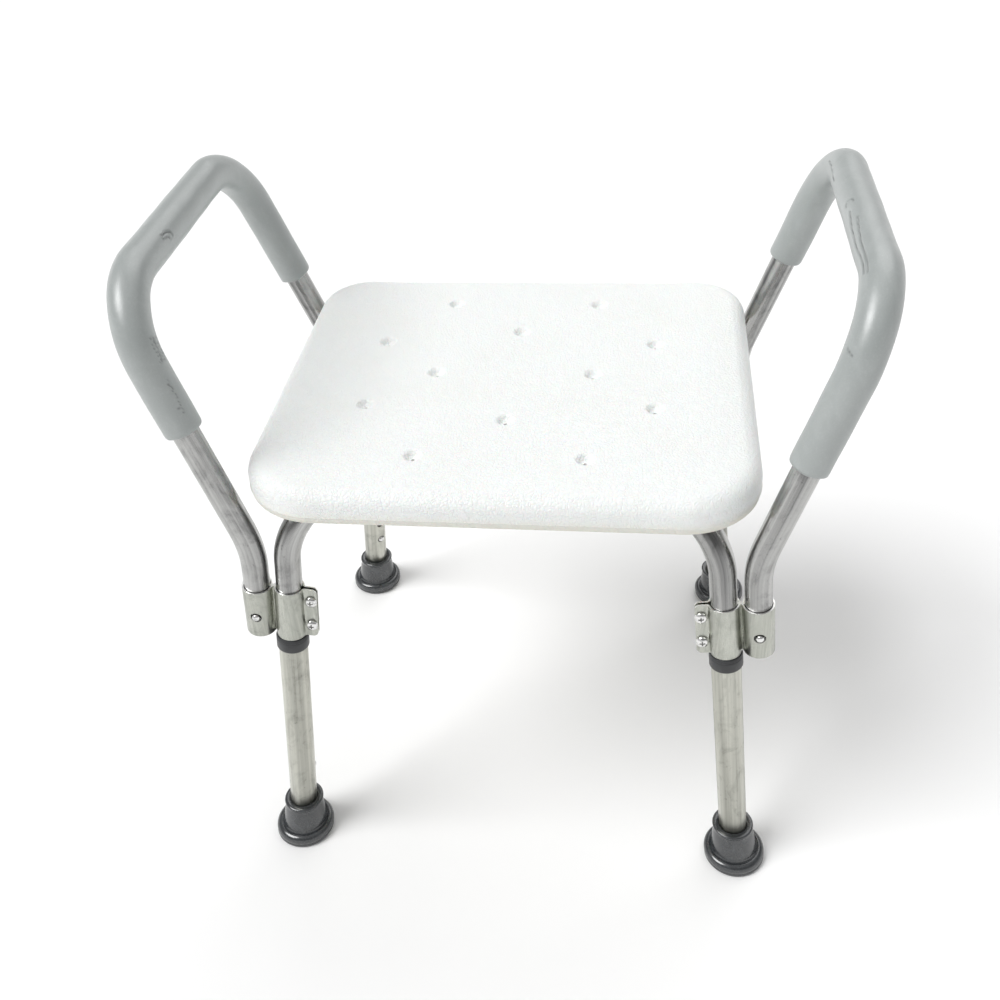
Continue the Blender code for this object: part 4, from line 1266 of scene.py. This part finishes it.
# Signs of use on each grip: a line of (turn, along) places, half its width and its depth.
DENTS = {
    "left": [
        (((-1.18, 0.1775), (-1.12, 0.1850), (-0.98, 0.1895), (-0.78, 0.1900)), 0.0013, 0.0014),
        (((-1.04, 0.1745), (-0.90, 0.1830), (-0.66, 0.1845)), 0.0010, 0.0008),
        *((((-1.10, at), (-0.92, at + 0.0014), (-0.74, at - 0.0006), (-0.55, at + 0.0008)),
           0.0008, 0.0005)
          for at in (0.0600, 0.0634, 0.0662, 0.0697, 0.0728, 0.0768)),
        (((-0.95, 0.0590), (-0.84, 0.0680), (-0.90, 0.0775)), 0.0008, 0.0005),
        *((curl(turn, at, size, low, low + 150), 0.0007, 0.0004) for turn, at, size, low in (
            (-1.38, 0.0205, 0.0022, -80), (-1.44, 0.0262, 0.0031, -110), (-1.34, 0.0325, 0.0024, -60),
            (-1.42, 0.0392, 0.0033, -95), (-1.30, 0.0452, 0.0020, -120))),
    ],
    "right": [
        (((3.00, 0.2260), (2.86, 0.2050), (2.76, 0.1840), (2.84, 0.1500)), 0.0011, 0.0008),
        (((2.70, 0.2420), (2.52, 0.2150), (2.44, 0.1900), (2.62, 0.1510)), 0.0012, 0.0007),
        (curl(2.80, 0.2540, 0.0040, -20, 200), 0.0009, 0.0007),
        (((2.52, 0.3520), (2.36, 0.3300), (2.30, 0.3110)), 0.0010, 0.0008),
        (((2.68, 0.0970), (2.90, 0.0955), (3.08, 0.0940)), 0.0009, 0.0008),
    ],
}


class BATHSEAT_OT_grips(Operator):
    """Foam grips over the arms' top bars and corners, with rolled ends and signs of use"""
    bl_idname = "bath_seat.add_grips"
    bl_label = "Foam grips"

    def execute(self, context):
        frames, arms = context.scene.bath_seat_frame, context.scene.bath_seat_arms
        for side, sx in SIDES.items():
            corners = self.ends(sx, arm_corners(sx, arms, frames), arms)
            radii = [arms.top_bend, arms.top_bend]
            foam = bent_tube(f"foam_{side}", corners, radii, arms.grip, 96, [36, 110, 36], FINE_ARC)
            path = path_of(corners, radii)
            places = straightened(foam, path)
            self.wear(foam, places, DENTS[side], arms)
            modifier(foam, "SOLIDIFY", thickness=arms.grip - arms.grip_bore, offset=-1,
                     use_even_offset=True)
            self.roll_ends(foam, path, arms)
            finished(foam, f"arm_{side}", "foam", finish("foam"), f"grip_{side}", angle=60)
        return {"FINISHED"}

    def ends(self, sx, corners, arms):
        """The grip's axis: the arm's top corners, and points on its two slanting runs."""
        found = []
        for knee, top, shift in ((corners[1], corners[2], -sx), (corners[4], corners[3], sx)):
            share = (arms.grip_end + shift * arms.grip_shift - knee.z) / (top.z - knee.z)
            found.append(knee.lerp(top, share))
        return [found[0], corners[2], corners[3], found[1]]

    def wear(self, foam, places, dents, arms):
        """Soft swells, and dents pressed in along lines. Stores "dent" where the foam is dented, the
        mask for the shade painted into the dents.
        """
        normals = [vertex.normal.copy() for vertex in foam.data.vertices]
        stored = foam.data.attributes.new("dent", "FLOAT", "POINT").data
        for index, (vertex, normal, place) in enumerate(zip(foam.data.vertices, normals, places)):
            turn, along = atan2(place.y, place.x), place.z
            move = 0.00010 * sin(along * 61 + 2 * sin(turn)) + 0.00008 * sin(along * 143 + 3 * turn)
            for line, width, depth in dents:
                lowest, highest = min(p[1] for p in line), max(p[1] for p in line)
                if lowest - width < along < highest + width:
                    near = min(self.distance((turn, along), a, b, arms.grip)
                               for a, b in zip(line, line[1:]))
                    if near < width * 2:
                        share = bump(near, width)
                        stored[index].value = max(stored[index].value, share)
                        move += depth * (0.35 * bump(near - 1.3 * width, width * 0.7) - share)
            vertex.co += normal * move

    def distance(self, here, start_at, end_at, radius):
        """Distance on the foam's skin from a (turn, along) place to a line between two others."""
        def flat(place):
            turn = (place[0] - start_at[0] + pi) % (2 * pi) - pi
            return Vector((turn * radius, place[1] - start_at[1]))
        point, line = flat(here), flat(end_at)
        share = min(1.0, max(0.0, point.dot(line) / max(line.dot(line), 1e-9)))
        return (point - line * share).length

    def roll_ends(self, foam, path, arms):
        """Rounds the foam's outer edge over its last few millimetres."""
        for tip, ahead in ((path[0], path[1] - path[0]), (path[-1], path[-2] - path[-1])):
            ahead = ahead.normalized()
            for vertex in foam.data.vertices:
                out = vertex.co - tip
                along = out.dot(ahead)
                if -0.001 < along < arms.grip_round and out.length < arms.grip * 1.6:
                    share = 1 - along / arms.grip_round
                    round_off = arms.grip - arms.grip_round * (1 - sqrt(max(0.0, 1 - share ** 2)))
                    radial = out - ahead * along
                    if radial.length > round_off:
                        vertex.co = tip + ahead * along + radial.normalized() * round_off


# ---------------------------------------------------------------- stage
class BATHSEAT_OT_stage(Operator):
    """Pale floor, two broad suns, sky and camera"""
    bl_idname = "bath_seat.add_stage"
    bl_label = "Stage"

    def execute(self, context):
        stage = context.scene.bath_seat_stage
        start()
        bpy.ops.mesh.primitive_plane_add(size=stage.floor_size, location=(0, 0, -0.0002))
        floor = bpy.context.object
        floor.name = "pale_floor"
        bpy.ops.object.transform_apply(location=True, rotation=True, scale=True)
        floor.data.materials.append(finish("floor"))
        self.lamp("key_light", (-0.95, -0.42, 1.35), radians(32), stage.key)
        self.lamp("back_light", (0.25, 0.9, 1.0), radians(50), stage.back)
        self.sky(context.scene, stage.sky)
        self.camera(context.scene, stage)
        context.scene.view_settings.view_transform = "Standard"
        return {"FINISHED"}

    def lamp(self, name, place, width, strength):
        """A broad sun that shines from a direction. Its width is the angle that it fills."""
        bpy.ops.object.light_add(type="SUN", location=place)
        lamp = bpy.context.object
        lamp.name = name
        lamp.data.angle, lamp.data.energy = width, strength
        lamp.rotation_euler = Vector(place).to_track_quat("Z", "Y").to_euler()

    def sky(self, scene, strength):
        """A sky that is pale near the horizon, dark above that and mid grey overhead."""
        world = bpy.data.worlds.new("studio")
        scene.world = world
        world.use_nodes = True
        tree = world.node_tree
        backdrop = tree.nodes["Background"]
        where = tree.nodes.new("ShaderNodeTexCoord")
        split = tree.nodes.new("ShaderNodeSeparateXYZ")
        ramp = tree.nodes.new("ShaderNodeValToRGB")
        stops = ((0.0, 0.92), (0.16, 0.78), (0.34, 0.22), (0.58, 0.26), (0.88, 0.60))
        for _ in range(len(stops) - 2):
            ramp.color_ramp.elements.new(0.5)
        for stop, (place, grey) in zip(ramp.color_ramp.elements, stops):
            stop.position, stop.color = place, (grey, grey, grey, 1)
        tree.links.new(where.outputs["Generated"], split.inputs["Vector"])
        tree.links.new(split.outputs["Z"], ramp.inputs["Fac"])
        tree.links.new(ramp.outputs["Color"], backdrop.inputs["Color"])
        backdrop.inputs["Strength"].default_value = strength

    def camera(self, scene, stage):
        bpy.ops.object.camera_add()
        camera = bpy.context.object
        camera.data.lens, camera.data.sensor_width = stage.lens, 36.0
        camera.data.clip_start = 0.01
        look = Matrix.Rotation(stage.turn, 4, "Z") @ Matrix.Rotation(pi / 2 - stage.tilt, 4, "X")
        camera.matrix_world = Matrix.Translation(stage.eye) @ look @ Matrix.Rotation(stage.roll, 4, "Z")
        scene.camera = camera


# ---------------------------------------------------------------- the add-on
BUILD_ORDER = (
    BATHSEAT_OT_seat, BATHSEAT_OT_cross_tubes, BATHSEAT_OT_fixings, BATHSEAT_OT_clamps,
    BATHSEAT_OT_clamp_screws, BATHSEAT_OT_legs, BATHSEAT_OT_collars, BATHSEAT_OT_feet,
    BATHSEAT_OT_snap_buttons, BATHSEAT_OT_arms, BATHSEAT_OT_grips, BATHSEAT_OT_stage,
)
SETTINGS = {
    "bath_seat_shell": SeatShape, "bath_seat_frame": FrameShape, "bath_seat_legs": LegShape,
    "bath_seat_arms": ArmShape, "bath_seat_finish": FinishColours, "bath_seat_stage": StageShape,
}


class BATHSEAT_PT_build(Panel):
    """Lists the pieces in the order they are built"""
    bl_idname = "BATHSEAT_PT_build"
    bl_label = "Bath Seat"
    bl_space_type = "VIEW_3D"
    bl_region_type = "UI"
    bl_category = "Bath Seat"

    def draw(self, context):
        for operator in BUILD_ORDER:
            self.layout.operator(operator.bl_idname)


def register():
    for group in SETTINGS.values():
        bpy.utils.register_class(group)
    for name, group in SETTINGS.items():
        setattr(bpy.types.Scene, name, PointerProperty(type=group))
    for entry in (*BUILD_ORDER, BATHSEAT_PT_build):
        bpy.utils.register_class(entry)


def unregister():
    for entry in (BATHSEAT_PT_build, *reversed(BUILD_ORDER)):
        bpy.utils.unregister_class(entry)
    for name, group in SETTINGS.items():
        delattr(bpy.types.Scene, name)
        bpy.utils.unregister_class(group)


def main():
    register()
    for operator in BUILD_ORDER:
        group, name = operator.bl_idname.split(".")
        getattr(getattr(bpy.ops, group), name)()


if __name__ == "__main__":
    main()
